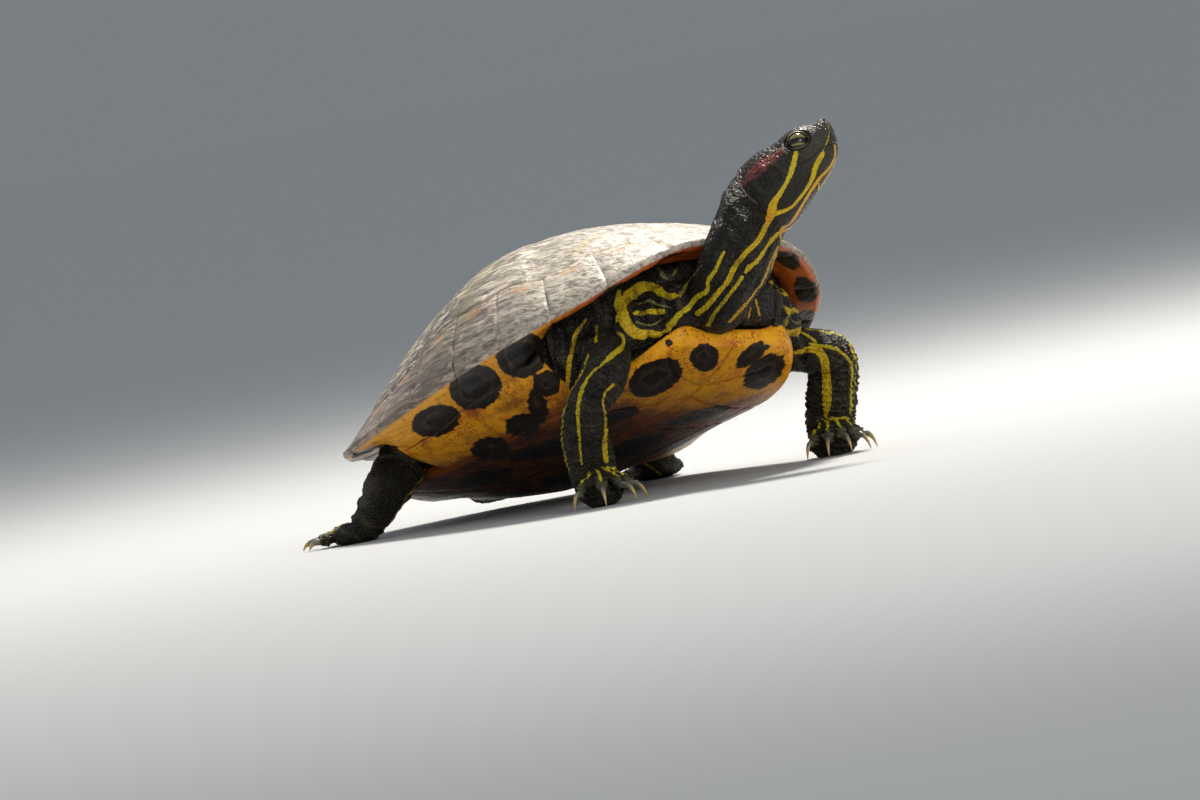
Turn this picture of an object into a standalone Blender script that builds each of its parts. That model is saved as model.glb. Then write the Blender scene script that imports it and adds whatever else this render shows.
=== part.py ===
"""Red-eared slider turtle, a still life-size model: shell, head, neck, torso, four legs, tail and eyes.

The body is drawn in the shell's own axes (x to the head, y to the animal's left, z up through the
carapace) and then set on the ground in its stance: nose up, right side up. The legs are drawn on the
ground. All sizes below are millimetres, and meshes are made in metres.
"""

import math

import bmesh
import bpy
import numpy as np
from mathutils import Matrix

MM = 0.001

# Driving sizes
CARAPACE_LENGTH = 200.0
STANCE_PITCH = math.radians(11.4)
STANCE_ROLL = math.radians(8.6)
STANCE_HEIGHT = 47.0
MODEL_MIDDLE = (17.3937, 0.0, 0.0)
GAP = 0.3
PLATE_RISE = 0.6
PLATE_SINK = 1.6
SEAM = 0.55
CUT_PROUD = 1.6
CUT_PROUD_LIMBS = 2.2
CUT_BELLY = 1.2

# Carapace outline, from the nuchal edge round to the tail, one station at each marginal seam
RIM_X = (0.490, 0.495, 0.470, 0.400, 0.300, 0.185, 0.060, -0.060, -0.175, -0.284, -0.372, -0.440, -0.487, -0.494)
RIM_Y = (0.0, 0.030, 0.150, 0.250, 0.315, 0.350, 0.365, 0.375, 0.380, 0.358, 0.300, 0.218, 0.115, 0.0)
RIM_Z_SEAMS = (0, 1.5, 3.5, 6, 9, 11.5, 13)
RIM_Z = (18.2, 20.5, 6.4, -3.5, -11.8, -3.6, -2.0)
LAST_SEAM = 13
DOME_CENTRE_X = -12.0
DOME_HEIGHT = 48.5
DOME_POWER = 2.2
DOME_EDGE_OPEN = 0.80
DOME_EDGE_BRIDGE = 0.66
DOME_EDGE_REAR = 1.3
DOME_EDGE_FRONT = 1.05
REAR_FLARE_SEAMS = (6.0, 9.0)
FRONT_FLARE_SEAMS = (3.5, 1.5)
EYE_HEIGHT = -1.2
MARGINAL_START = 0.86
RIM_THICKNESS = 2.4
LIP_WIDTH_OPEN = 12.0
LIP_WIDTH_BRIDGE = 9.0
LIP_DROP_OPEN = -2.0
LIP_DROP_BRIDGE = 8.0
SHELL_WALL = 4.0
CAVITY_SHARES = (0.45, 0.80, 0.97)
BRIDGE_SEAMS = (4.0, 4.7, 7.7, 8.7)

# Half width of the row of vertebral scutes, at stations along the shell as parts of its length
VERTEBRAL_X = (-0.425, -0.31, -0.225, -0.13, -0.035, 0.07, 0.165, 0.265, 0.385, 0.40)
VERTEBRAL_HALF = (0.125, 0.065, 0.105, 0.080, 0.115, 0.085, 0.115, 0.075, 0.100, 0.095)
VERTEBRAL_SEAMS = (0.400, 0.265, 0.070, -0.130, -0.310, -0.428)
COSTAL_INNER = (0.385, 0.165, -0.035, -0.225, -0.375)
COSTAL_OUTER = (1.7, 5.35, 7.35, 9.25, 11.35)

# Plastron, from its front edge to its rear
PLASTRON_DEPTH = 27.0
PLASTRON_THICKNESS = 4.2
LOBE_START = 40.0
LOBE_RISE = 0.235
REAR_LOBE_START = -50.0
REAR_LOBE_RISE = 4.0
PLASTRON_X = (-90, -84, -74, -60, -46, -34, 40, 50, 62, 70, 78, 84, 86)
PLASTRON_HALF = (15, 26, 37, 43.4, 45, 45, 44.2, 43.6, 41.3, 38.0, 33.0, 26.8, 23.4)
PLASTRON_SEAMS_MIDLINE = (86.0, 62.0, 54.0, 18.0, -28.0, -58.0, -87.0)
PLASTRON_SEAMS_EDGE = (84.5, 83.0, 40.0, 22.0, -37.0, -66.0, -89.5)
BRIDGE_FRONT = 47.0
BRIDGE_REAR = -36.0
BRIDGE_ROWS = 9

# Head: its eye line's midpoint and its two directions, in the shell's axes
HEAD_AT = np.array((131.4, 10.6, 48.5))
HEAD_FORWARD = np.array((0.8047, 0.5132, 0.2956))
HEAD_UP = np.array((-0.1471, -0.3094, 0.9403))
HEAD_STATIONS = (-24.0, -20.0, -16.0, -12.0, -8.5, -5.5, -2.5, 0.5, 3.0, 5.5, 7.7, 9.4, 10.6, 11.5, 12.2)
HEAD_TOP = (3.1, 3.8, 4.3, 4.0, 3.7, 4.2, 4.8, 4.7, 4.1, 2.9, 2.5, 2.5, 2.4, 1.8, -0.4)
HEAD_BOTTOM = (-26.0, -25.4, -24.4, -22.6, -21.2, -20.0, -18.8, -17.4, -16.2, -14.8, -13.0, -10.9, -8.4, -5.7, -3.0)
HEAD_HALF = (13.2, 13.6, 13.5, 13.0, 12.0, 10.9, 10.0, 9.2, 8.4, 7.5, 6.3, 5.1, 4.1, 3.1, 1.6)
MOUTH_STATIONS = (-8.5, -5.0, 0.4, 7.0, 11.5)
MOUTH_HEIGHT = (-8.6, -9.1, -9.3, -8.4, -8.2)
MOUTH_DEPTH = 0.7
EYE_RADIUS = 3.9
EYE_SIDE = 5.0
EYE_OPENING = (3.6, 2.8)
LID_RADIUS = 4.9

NECK_PATH = ((62, 0, -7), (81, -4, -3), (96.3, -10.4, 1.9), (108.4, -9.4, 12.4), (112.5, -4.5, 22.5))
NECK_WIDE = (12.0, 13.0, 13.5, 14.0, 14.3)
NECK_TALL = (7.5, 9.3, 11.4, 13.4, 15.0)

SHADES = {
    "shell": ((0.16, 0.13, 0.09), 0.45),
    "belly": ((0.62, 0.36, 0.06), 0.40),
    "skin": ((0.045, 0.048, 0.035), 0.50),
    "eye": ((0.22, 0.22, 0.06), 0.12),
}


def clear_scene():
    for obj in list(bpy.data.objects):
        bpy.data.objects.remove(obj, do_unlink=True)


def make_collection(name):
    collection = bpy.data.collections.new(name)
    bpy.context.scene.collection.children.link(collection)
    return collection


def make_material(name, kind):
    colour, roughness = SHADES[kind]
    material = bpy.data.materials.new(name + "_" + kind)
    material.use_nodes = True
    shader = material.node_tree.nodes["Principled BSDF"]
    shader.inputs["Base Color"].default_value = (*colour, 1.0)
    shader.inputs["Roughness"].default_value = roughness
    shader.inputs["Metallic"].default_value = 0.0
    return material


def spline(stations, values, at):
    """Smooth curve through values, numbers or points, given at rising stations."""
    stations = np.asarray(stations, float)
    values = np.asarray(values, float)
    at = np.clip(np.asarray(at, float), stations[0], stations[-1])
    slopes = np.gradient(values, stations, axis=0)
    k = np.clip(np.searchsorted(stations, at, side="right") - 1, 0, len(stations) - 2)
    span = stations[k + 1] - stations[k]
    u = (at - stations[k]) / span
    if values.ndim > 1:
        span = span[..., None]
        u = u[..., None]
    start = (2 * u**3 - 3 * u**2 + 1) * values[k] + (u**3 - 2 * u**2 + u) * span * slopes[k]
    return start + (3 * u**2 - 2 * u**3) * values[k + 1] + (u**3 - u**2) * span * slopes[k + 1]


def smooth_step(low, high, at):
    u = np.clip((np.asarray(at, float) - low) / (high - low), 0, 1)
    return u * u * (3 - 2 * u)


def unit(vector):
    vector = np.asarray(vector, float)
    return vector / np.linalg.norm(vector, axis=-1, keepdims=True)


def stance_matrix():
    turn = Matrix.Rotation(-STANCE_PITCH, 3, "Y") @ Matrix.Rotation(-STANCE_ROLL, 3, "X")
    return np.array(turn)


def to_ground(points):
    """Points in the shell's axes, set on the ground in the animal's stance."""
    return np.asarray(points, float) @ stance_matrix().T + (0, 0, STANCE_HEIGHT)


def mesh_object(points, faces, name, collection):
    """A mesh from points in millimetres on the ground's axes, with its faces turned outwards."""
    mesh = bpy.data.meshes.new(name)
    placed = (np.asarray(points, float) - MODEL_MIDDLE) * MM
    mesh.from_pydata([tuple(p) for p in placed], [], faces)
    work = bmesh.new()
    work.from_mesh(mesh)
    bmesh.ops.recalc_face_normals(work, faces=work.faces)
    work.to_mesh(mesh)
    work.free()
    obj = bpy.data.objects.new(name, mesh)
    collection.objects.link(obj)
    return obj


def grid_faces(rows, columns, closed=False, start=0, flip=False):
    faces = []
    last = columns if closed else columns - 1
    for i in range(rows - 1):
        for j in range(last):
            k = (j + 1) % columns
            face = (
                start + i * columns + j,
                start + i * columns + k,
                start + (i + 1) * columns + k,
                start + (i + 1) * columns + j,
            )
            faces.append(face[::-1] if flip else face)
    return faces


def fan_faces(first, columns, tip):
    return [(first + j, first + (j + 1) % columns, tip) for j in range(columns)]


def loft(rings, name, collection):
    """A closed solid through equal rings of points, capped at both ends."""
    rows, columns = rings.shape[:2]
    faces = grid_faces(rows, columns, closed=True)
    faces.append(tuple(range(columns))[::-1])
    faces.append(tuple(range((rows - 1) * columns, rows * columns)))
    return mesh_object(rings.reshape(-1, 3), faces, name, collection)


def slab(top, bottom, name, collection):
    """A closed solid between two equal open grids of points."""
    rows, columns = top.shape[:2]
    count = rows * columns
    faces = grid_faces(rows, columns)
    faces += grid_faces(rows, columns, start=count, flip=True)
    edge = [j for j in range(columns)]
    edge += [i * columns + columns - 1 for i in range(1, rows)]
    edge += [(rows - 1) * columns + j for j in range(columns - 2, -1, -1)]
    edge += [i * columns for i in range(rows - 2, 0, -1)]
    for k, here in enumerate(edge):
        there = edge[(k + 1) % len(edge)]
        faces.append((here, here + count, there + count, there))
    return mesh_object(np.concatenate([top.reshape(-1, 3), bottom.reshape(-1, 3)]), faces, name, collection)


def carried_sides(along, up):
    """Side directions carried along a path without twist, the first one level with up."""
    side = unit(np.cross(np.asarray(up, float), along[0]))
    sides = []
    for direction in along:
        side = unit(side - direction * (side @ direction))
        sides.append(side)
    return np.array(sides)


def tube(path, wide, tall, up, sides, name, collection, steps=12, ends=(0.5, 0.5)):
    """A closed limb along a smooth path, an ellipse at each step, with rounded ends."""
    path = np.asarray(path, float)
    reach = np.concatenate([[0], np.cumsum(np.linalg.norm(np.diff(path, axis=0), axis=1))])
    at = np.linspace(0, reach[-1], steps)
    centre = spline(reach, path, at)
    along = unit(np.gradient(centre, at, axis=0))
    side = carried_sides(along, up)
    over = np.cross(along, side)
    half_wide = spline(reach, wide, at)
    half_tall = spline(reach, tall, at)
    turn = np.linspace(0, 2 * math.pi, sides, endpoint=False)
    rings = [
        c + w * s * np.cos(turn)[:, None] + t * o * np.sin(turn)[:, None]
        for c, s, o, w, t in zip(centre, side, over, half_wide, half_tall)
    ]
    first = centre[0] + (rings[0] - centre[0]) * 0.6 - along[0] * half_tall[0] * ends[0]
    final = centre[-1] + (rings[-1] - centre[-1]) * 0.6 + along[-1] * half_tall[-1] * ends[1]
    return loft(np.array([first, *rings, final]), name, collection)


def ball(centre, radii, axes, name, collection, rows=8, columns=12):
    """An ellipsoid with its radii along the three given axes."""
    polar = np.linspace(0, math.pi, rows + 1)[1:-1]
    turn = np.linspace(0, 2 * math.pi, columns, endpoint=False)
    axes = np.asarray(axes, float)
    points = [np.asarray(centre, float) + axes[2] * radii[2]]
    for p in polar:
        for t in turn:
            local = (math.sin(p) * math.cos(t) * radii[0], math.sin(p) * math.sin(t) * radii[1], math.cos(p) * radii[2])
            points.append(np.asarray(centre, float) + np.asarray(local) @ axes)
    points.append(np.asarray(centre, float) - axes[2] * radii[2])
    faces = grid_faces(len(polar), columns, closed=True, start=1)
    last = len(points) - 1
    faces += fan_faces(1, columns, 0) + fan_faces(last - columns, columns, last)
    return mesh_object(points, faces, name, collection)


def keep_largest(obj):
    """Leaves only the largest closed surface of a mesh."""
    work = bmesh.new()
    work.from_mesh(obj.data)
    left = set(work.faces)
    bodies = []
    while left:
        body = {left.pop()}
        edge = list(body)
        while edge:
            face = edge.pop()
            for side in face.edges:
                if len(side.link_faces) != 2:
                    continue
                for other in side.link_faces:
                    if other in left:
                        left.discard(other)
                        body.add(other)
                        edge.append(other)
        bodies.append(body)
    bodies.sort(key=lambda body: -sum(face.calc_area() for face in body))
    spare = [face for body in bodies[1:] for face in body]
    bmesh.ops.delete(work, geom=spare, context="FACES")
    bmesh.ops.triangulate(work, faces=work.faces)
    work.to_mesh(obj.data)
    work.free()


def apply_boolean(obj, operation, others, solver="EXACT"):
    """Joins or cuts with every object of the list at once, and removes them."""
    helpers = bpy.data.collections.new("helpers")
    for other in others:
        helpers.objects.link(other)
    change = obj.modifiers.new(operation, "BOOLEAN")
    change.operation = operation
    change.operand_type = "COLLECTION"
    change.collection = helpers
    change.solver = solver
    bpy.context.view_layer.update()
    graph = bpy.context.evaluated_depsgraph_get()
    result = bpy.data.meshes.new_from_object(obj.evaluated_get(graph))
    obj.modifiers.clear()
    obj.data = result
    for other in others:
        bpy.data.objects.remove(other, do_unlink=True)
    bpy.data.collections.remove(helpers)
    keep_largest(obj)


def finish(obj, kind):
    obj.data.materials.clear()
    obj.data.materials.append(make_material(obj.name, kind))
    obj.data.shade_smooth()
    obj.data.set_sharp_from_angle(angle=math.radians(35))


def rim(t):
    """The carapace's edge at seam t, which is negative on the right side."""
    at = np.abs(t)
    seams = np.arange(LAST_SEAM + 1)
    x = spline(seams, RIM_X, at) * CARAPACE_LENGTH
    y = spline(seams, RIM_Y, at) * CARAPACE_LENGTH * np.sign(t)
    z = spline(RIM_Z_SEAMS, RIM_Z, at)
    return np.stack([x, y, z], axis=-1)


def bridge_share(t):
    """1 along the bridges and 0 at the open front and rear."""
    at = np.abs(t)
    first, full, fade, last = BRIDGE_SEAMS
    return smooth_step(first, full, at) * (1 - smooth_step(fade, last, at))


def mix(share, low, high):
    return low + (high - low) * share


def dome_height(t, r):
    at = np.abs(t)
    edge = mix(bridge_share(t), DOME_EDGE_OPEN, DOME_EDGE_BRIDGE)
    edge = mix(smooth_step(*REAR_FLARE_SEAMS, at), edge, DOME_EDGE_REAR)
    edge = mix(smooth_step(*FRONT_FLARE_SEAMS, at), edge, DOME_EDGE_FRONT)
    return rim(t)[..., 2] * r**2 + DOME_HEIGHT * np.clip(1 - r**DOME_POWER, 0, 1) ** edge


def shell_point(t, q):
    """The shell's skin: q from 0 to 1 runs over the dome to its rim, and on to 2 under the lip."""
    t, q = np.broadcast_arrays(np.asarray(t, float), np.asarray(q, float))
    edge = rim(t)
    spoke = edge[..., :2] - (DOME_CENTRE_X, 0)
    reach = np.linalg.norm(spoke, axis=-1)
    share = bridge_share(t)
    under = np.clip(q - 1, 0, 1)
    r = np.where(q <= 1, q, 1 - mix(share, LIP_WIDTH_OPEN, LIP_WIDTH_BRIDGE) * under / reach)
    over_z = dome_height(t, np.clip(q, 0, 1))
    round_edge = RIM_THICKNESS * np.sqrt(np.clip(under / 0.15, 0, 1))
    under_z = edge[..., 2] - round_edge - mix(share, LIP_DROP_OPEN, LIP_DROP_BRIDGE) * under
    plan = spoke * r[..., None] + (DOME_CENTRE_X, 0)
    return np.concatenate([plan, np.where(q <= 1, over_z, under_z)[..., None]], axis=-1)


SAMPLE_T = np.linspace(-LAST_SEAM, LAST_SEAM, 521)
SAMPLE_RIM = rim(SAMPLE_T)[:, :2] - (DOME_CENTRE_X, 0)
SAMPLE_ANGLE = np.unwrap(np.arctan2(SAMPLE_RIM[:, 1], SAMPLE_RIM[:, 0]))
SAMPLE_ANGLE -= SAMPLE_ANGLE[len(SAMPLE_ANGLE) // 2]


def dome_at(x, y):
    """The dome's point above a place in plan."""
    angle = np.arctan2(y, x - DOME_CENTRE_X)
    t = np.interp(angle, SAMPLE_ANGLE, SAMPLE_T)
    reach = np.linalg.norm(rim(t)[..., :2] - (DOME_CENTRE_X, 0), axis=-1)
    r = np.clip(np.hypot(x - DOME_CENTRE_X, y) / reach, 0, 1)
    return np.stack([x, y, dome_height(t, r)], axis=-1)


def grid_normals(grid, outwards):
    """Unit normals of an open grid of points, on the side that outwards points to."""
    normals = unit(np.cross(np.gradient(grid, axis=0), np.gradient(grid, axis=1)))
    sign = np.sign((normals * outwards).sum())
    return normals * (sign if sign else 1)


def raised_plate(grid, outwards, name, collection):
    """A scute: a slab proud of the surface it grows from, its root sunk in it."""
    normals = grid_normals(grid, outwards)
    top = to_ground(grid + normals * PLATE_RISE)
    bottom = to_ground(grid - normals * PLATE_SINK)
    return slab(top, bottom, name, collection)


def inset(count, length):
    """Shares from 0 to 1 that leave half a seam at each end of a side of this length."""
    edge = SEAM / length
    return np.linspace(edge, 1 - edge, count)


def vertebral_half(x):
    return np.interp(x / CARAPACE_LENGTH, VERTEBRAL_X, VERTEBRAL_HALF) * CARAPACE_LENGTH


def vertebral_plates(collection):
    plates = []
    for k in range(5):
        front, rear = np.array(VERTEBRAL_SEAMS[k : k + 2]) * CARAPACE_LENGTH
        x = mix(inset(4, front - rear), front, rear)
        y = mix(inset(5, 40.0), -1.0, 1.0)
        grid = dome_at(*np.broadcast_arrays(x[:, None], vertebral_half(x)[:, None] * y))
        plates.append(raised_plate(grid, np.array((0, 0, 1.0)), f"vertebral_{k + 1}", collection))
    return plates


def costal_plates(collection):
    plates = []
    for side in (-1, 1):
        for k in range(4):
            front, rear = np.array(COSTAL_INNER[k : k + 2]) * CARAPACE_LENGTH
            share = inset(4, 40.0)
            inner_x = mix(share, front, rear)
            inner = np.stack([inner_x, side * vertebral_half(inner_x)], axis=-1)
            outer = shell_point(side * mix(share, *COSTAL_OUTER[k : k + 2]), MARGINAL_START)[..., :2]
            across = inset(5, np.linalg.norm(outer[1] - inner[1]))
            plan = mix(across[:, None, None], inner[None], outer[None])
            grid = dome_at(plan[..., 0], plan[..., 1])
            outwards = np.array((0, side * 0.7, 0.7))
            plates.append(raised_plate(grid, outwards, f"costal_{k + 1}", collection))
    return plates


def marginal_plates(collection):
    """The plates of the rim, each folded round it, and the small cervical one over the neck."""
    plates = []
    spans = [(-1.0, 1.0)]
    spans += [(side * k, side * (k + 1)) for side in (-1, 1) for k in range(1, LAST_SEAM)]
    for first, second in spans:
        width = np.linalg.norm(rim(second) - rim(first))
        t = mix(inset(3, width), first, second)
        q = np.array((MARGINAL_START + 0.006, 0.94, 1.0, 1.15, 1.94))
        grid = shell_point(t[None, :], q[:, None])
        spoke = rim(t[1]) - (DOME_CENTRE_X, 0, 0)
        normals = grid_normals(grid[:3], np.array((0, 0, 1.0)))[0, 1]
        wrapped = grid_normals(grid, np.array((0, 0, 1.0)))
        sign = np.sign((wrapped[0, 1] * normals).sum())
        wrapped = wrapped * sign
        wrapped[2] = unit(wrapped[2] + unit(np.array((spoke[0], spoke[1], 0.0))))
        top = to_ground(grid + wrapped * PLATE_RISE)
        bottom = to_ground(grid - wrapped * PLATE_SINK * np.array((1, 0.8, 0.5, 0.6, 1))[:, None, None])
        plates.append(slab(top, bottom, "marginal", collection))
    return plates


def lip_share(t):
    """The lip's inner edge, as a share of the rim's distance from the dome's centre."""
    reach = np.linalg.norm(rim(t)[:, :2] - (DOME_CENTRE_X, 0), axis=-1)
    return 1 - mix(bridge_share(t), LIP_WIDTH_OPEN, LIP_WIDTH_BRIDGE) / reach


def spoke_ring(t, r, z):
    """A ring of points at shares r of the rim's spokes."""
    spoke = rim(t)[:, :2] - (DOME_CENTRE_X, 0)
    plan = spoke * np.broadcast_to(r, t.shape)[:, None] + (DOME_CENTRE_X, 0)
    return np.concatenate([plan, np.broadcast_to(z, t.shape)[:, None]], axis=-1)


def cavity_ring(t, share, clear=0.0):
    """A ring of the shell's inner wall, or one clear of it by a gap."""
    r = lip_share(t) * share
    z = dome_height(t, r) - SHELL_WALL / np.clip(1.25 - r, 0.35, 1.0)
    return spoke_ring(t, r - clear / 80, z - clear)


def carapace_base(name, collection, grow=0.0, proud=0.0):
    """The shell's dome and rim without its plates, grown by a gap where a neighbour is cut to it."""
    columns = 2 * LAST_SEAM
    t = np.arange(columns) - LAST_SEAM + 0.5
    outer = np.array((0.3, 0.55, 0.73, 0.86, 0.95, 1.0, 1.15, 2.0))
    skin = shell_point(t[None, :], outer[:, None])
    rings = np.concatenate([skin, [cavity_ring(t, share) for share in CAVITY_SHARES[::-1]]])
    top = (DOME_CENTRE_X, 0, DOME_HEIGHT)
    under = (DOME_CENTRE_X, 0, DOME_HEIGHT - SHELL_WALL)
    points = np.concatenate([rings.reshape(-1, 3), [top, under]])
    faces = grid_faces(len(rings), columns, closed=True)
    faces += fan_faces(0, columns, len(points) - 2)
    faces += fan_faces((len(rings) - 1) * columns, columns, len(points) - 1)
    obj = mesh_object(to_ground(points), faces, name, collection)
    if grow or proud:
        outside = set(range(len(skin) * columns)) | {len(points) - 2}
        amount = {v.index: (grow + proud if v.index in outside else grow) for v in obj.data.vertices}
        moved = [v.co + v.normal * amount[v.index] * MM for v in obj.data.vertices]
        for v, place in zip(obj.data.vertices, moved):
            v.co = place
    return obj


def build_carapace(collection):
    shell = carapace_base("carapace", collection)
    plates = vertebral_plates(collection) + costal_plates(collection) + marginal_plates(collection)
    apply_boolean(shell, "UNION", plates)
    finish(shell, "shell")
    return shell


def plastron_half(x):
    return spline(PLASTRON_X, PLASTRON_HALF, x)


def plastron_z(x):
    lobe = np.clip(np.asarray(x, float) - LOBE_START, 0, None)
    rear = np.clip(REAR_LOBE_START - np.asarray(x, float), 0, None)
    rise = LOBE_RISE * lobe**2 / LOBE_START + REAR_LOBE_RISE * (rear / LOBE_START) ** 2
    return rise - PLASTRON_DEPTH


def plastron_point(x, share):
    """The plastron's underside at x, share from -1 to 1 across it, with the notch at the tail."""
    notch = 5.0 * np.clip(1 - np.abs(share) * 1.6, 0, 1) * smooth_step(-74, -90, x)
    edge_lift = 1.2 * np.abs(share) ** 6
    return np.stack([x + notch, plastron_half(x) * share, plastron_z(x) + edge_lift], axis=-1)


def plastron_base(name, collection, grow=0.0):
    x = np.array((-90, -84, -74, -60, -46, -34, 4, 40, 52, 63, 73, 81, 86.0))
    share = np.array((-1, -0.86, -0.5, 0, 0.5, 0.86, 1))
    under = plastron_point(*np.broadcast_arrays(x[:, None], share[None, :]))
    lip = PLASTRON_THICKNESS + 1.6 * smooth_step(70, 86, under[..., 0])
    over = under + np.stack([0 * lip, 0 * lip, lip], axis=-1)
    over[..., 1] *= 0.985
    plate = slab(to_ground(under), to_ground(over), name, collection)
    grow_slab(plate, grow)
    return plate


def grow_slab(obj, grow):
    """Moves a slab's first face out past the plates on it, and its other face by the gap."""
    if not grow:
        return
    half = len(obj.data.vertices) // 2
    moved = [v.co + v.normal * (grow if v.index < half else GAP) * MM for v in obj.data.vertices]
    for v, place in zip(obj.data.vertices, moved):
        v.co = place


def bridge_grid(side, rows, lift=0.0):
    """The bridge's outer face from the plastron's edge up to the marginals' lower edge."""
    x = np.linspace(BRIDGE_REAR, BRIDGE_FRONT, rows)
    ends = np.abs(x - (BRIDGE_REAR + BRIDGE_FRONT) / 2) / ((BRIDGE_FRONT - BRIDGE_REAR) / 2)
    t = np.interp(-x, -rim(SAMPLE_T[260:])[:, 0], SAMPLE_T[260:])
    lip = shell_point(side * t, 2.0)
    low = np.stack([x * 0.96, side * (plastron_half(x) - 5.0), plastron_z(x) + 0.3], axis=-1)
    share = np.array((0.0, 0.22, 0.5, 0.8, 1.0))
    grid = mix(share[None, :, None], low[:, None], lip[:, None])
    swell = 1.6 * np.sin(math.pi * np.clip(share, 0, 1))[None, :] * (1 - 0.3 * ends[:, None])
    grid[..., 2] -= swell
    return grid


def bridge_wing(side, name, collection, grow=0.0):
    grid = bridge_grid(side, BRIDGE_ROWS)
    outwards = np.array((0, side * 0.6, -0.8))
    normals = grid_normals(grid, outwards)
    wing = slab(to_ground(grid), to_ground(grid - normals * 3.6), name, collection)
    grow_slab(wing, grow)
    return wing


def plastron_plates(collection):
    plates = []
    down = np.array((0, 0, -1.0))
    for side in (-1, 1):
        for k in range(6):
            across = inset(4, 40.0)
            along = inset(3, 24.0)
            front = mix(across, PLASTRON_SEAMS_MIDLINE[k], PLASTRON_SEAMS_EDGE[k])
            rear = mix(across, PLASTRON_SEAMS_MIDLINE[k + 1], PLASTRON_SEAMS_EDGE[k + 1])
            x = mix(along[:, None], front[None, :], rear[None, :])
            share = across[None, :] * 0.985
            grid = plastron_point(*np.broadcast_arrays(x, side * share))
            plates.append(raised_plate(grid, down, "ventral", collection))
        grid = bridge_grid(side, BRIDGE_ROWS)
        half = BRIDGE_ROWS // 2
        for first, last in ((0, half), (half, BRIDGE_ROWS - 1)):
            part = grid[first : last + 1, 0:4].copy()
            part[0] = mix(0.08, part[0], part[1])
            part[-1] = mix(0.08, part[-1], part[-2])
            plates.append(raised_plate(part, np.array((0, side * 0.6, -0.8)), "bridge_plate", collection))
    return plates


def build_plastron(collection):
    belly = plastron_base("plastron", collection)
    wings = [bridge_wing(side, "wing", collection) for side in (-1, 1)]
    apply_boolean(belly, "UNION", wings + plastron_plates(collection))
    apply_boolean(belly, "DIFFERENCE", [carapace_base("cut", collection, GAP, CUT_PROUD)])
    finish(belly, "belly")
    return belly


def shell_cutters(collection, proud=CUT_PROUD_LIMBS):
    """The shell grown by the gap, for cutting the soft parts clear of it."""
    cutters = [carapace_base("cut_top", collection, GAP, proud)]
    cutters.append(plastron_base("cut_belly", collection, CUT_BELLY))
    cutters += [bridge_wing(side, "cut_wing", collection, CUT_BELLY) for side in (-1, 1)]
    return cutters


def head_axes():
    forward = unit(HEAD_FORWARD)
    left = unit(np.cross(HEAD_UP, forward))
    return forward, left, np.cross(forward, left)


def head_to_ground(points):
    """Points given as forward, left and up of the eye line's midpoint, set on the ground."""
    return to_ground(np.asarray(points, float) @ np.array(head_axes()) + HEAD_AT)


def head_ring(u, per_side=7):
    """One cross-section of the head, with the line of the mouth pressed in where there is one."""
    top = spline(HEAD_STATIONS, HEAD_TOP, u)
    bottom = spline(HEAD_STATIONS, HEAD_BOTTOM, u)
    half = spline(HEAD_STATIONS, HEAD_HALF, u)
    middle, tall = (top + bottom) / 2, (top - bottom) / 2
    mouth = spline(MOUTH_STATIONS, MOUTH_HEIGHT, u)
    lip = math.asin(np.clip((mouth - middle) / tall, -0.97, 0.6))
    shut = smooth_step(-9.5, -7.5, u) * (1 - smooth_step(11.6, 12.0, u))
    spread = 0.55 / tall
    upper = np.linspace(math.pi / 2, lip + spread, per_side)
    lower = np.linspace(lip - spread, -math.pi / 2, per_side)
    angles = np.concatenate([upper, [lip], lower])
    pinch = np.zeros(len(angles))
    pinch[per_side] = MOUTH_DEPTH * shut
    power = 2 / 2.25
    v = (half - pinch) * np.abs(np.cos(angles)) ** power
    w = middle + (tall - pinch) * np.sign(np.sin(angles)) * np.abs(np.sin(angles)) ** power
    right = np.stack([np.full_like(v, u), -v, w], axis=-1)
    left = right[1:-1][::-1] * (1, -1, 1)
    return np.concatenate([right, left])


def eye_axes(side):
    outwards = unit(np.array((0.24, side * 0.93, 0.28)))
    along = unit(np.cross(outwards, (0.25, 0, 1.0)) * side)
    return along, np.cross(outwards, along), outwards


def eye_centre(side):
    return np.array((0.0, side * EYE_SIDE, EYE_HEIGHT))


def head_ball(centre, radii, axes, name, collection, rows=8, columns=12):
    """An ellipsoid placed by the head's own axes."""
    turn = np.array(head_axes())
    world_axes = (np.asarray(axes) @ turn) @ stance_matrix().T
    return ball(head_to_ground(centre), radii, world_axes, name, collection, rows, columns)


def head_rod(start, end, radii, axes, name, collection, sides=12):
    """A straight rod of oval section between two points of the head."""
    turn = np.linspace(0, 2 * math.pi, sides, endpoint=False)
    ring = radii[0] * np.cos(turn)[:, None] * axes[0] + radii[1] * np.sin(turn)[:, None] * axes[1]
    rings = np.array([head_to_ground(ring + start), head_to_ground(ring + end)])
    return loft(rings, name, collection)


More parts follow.
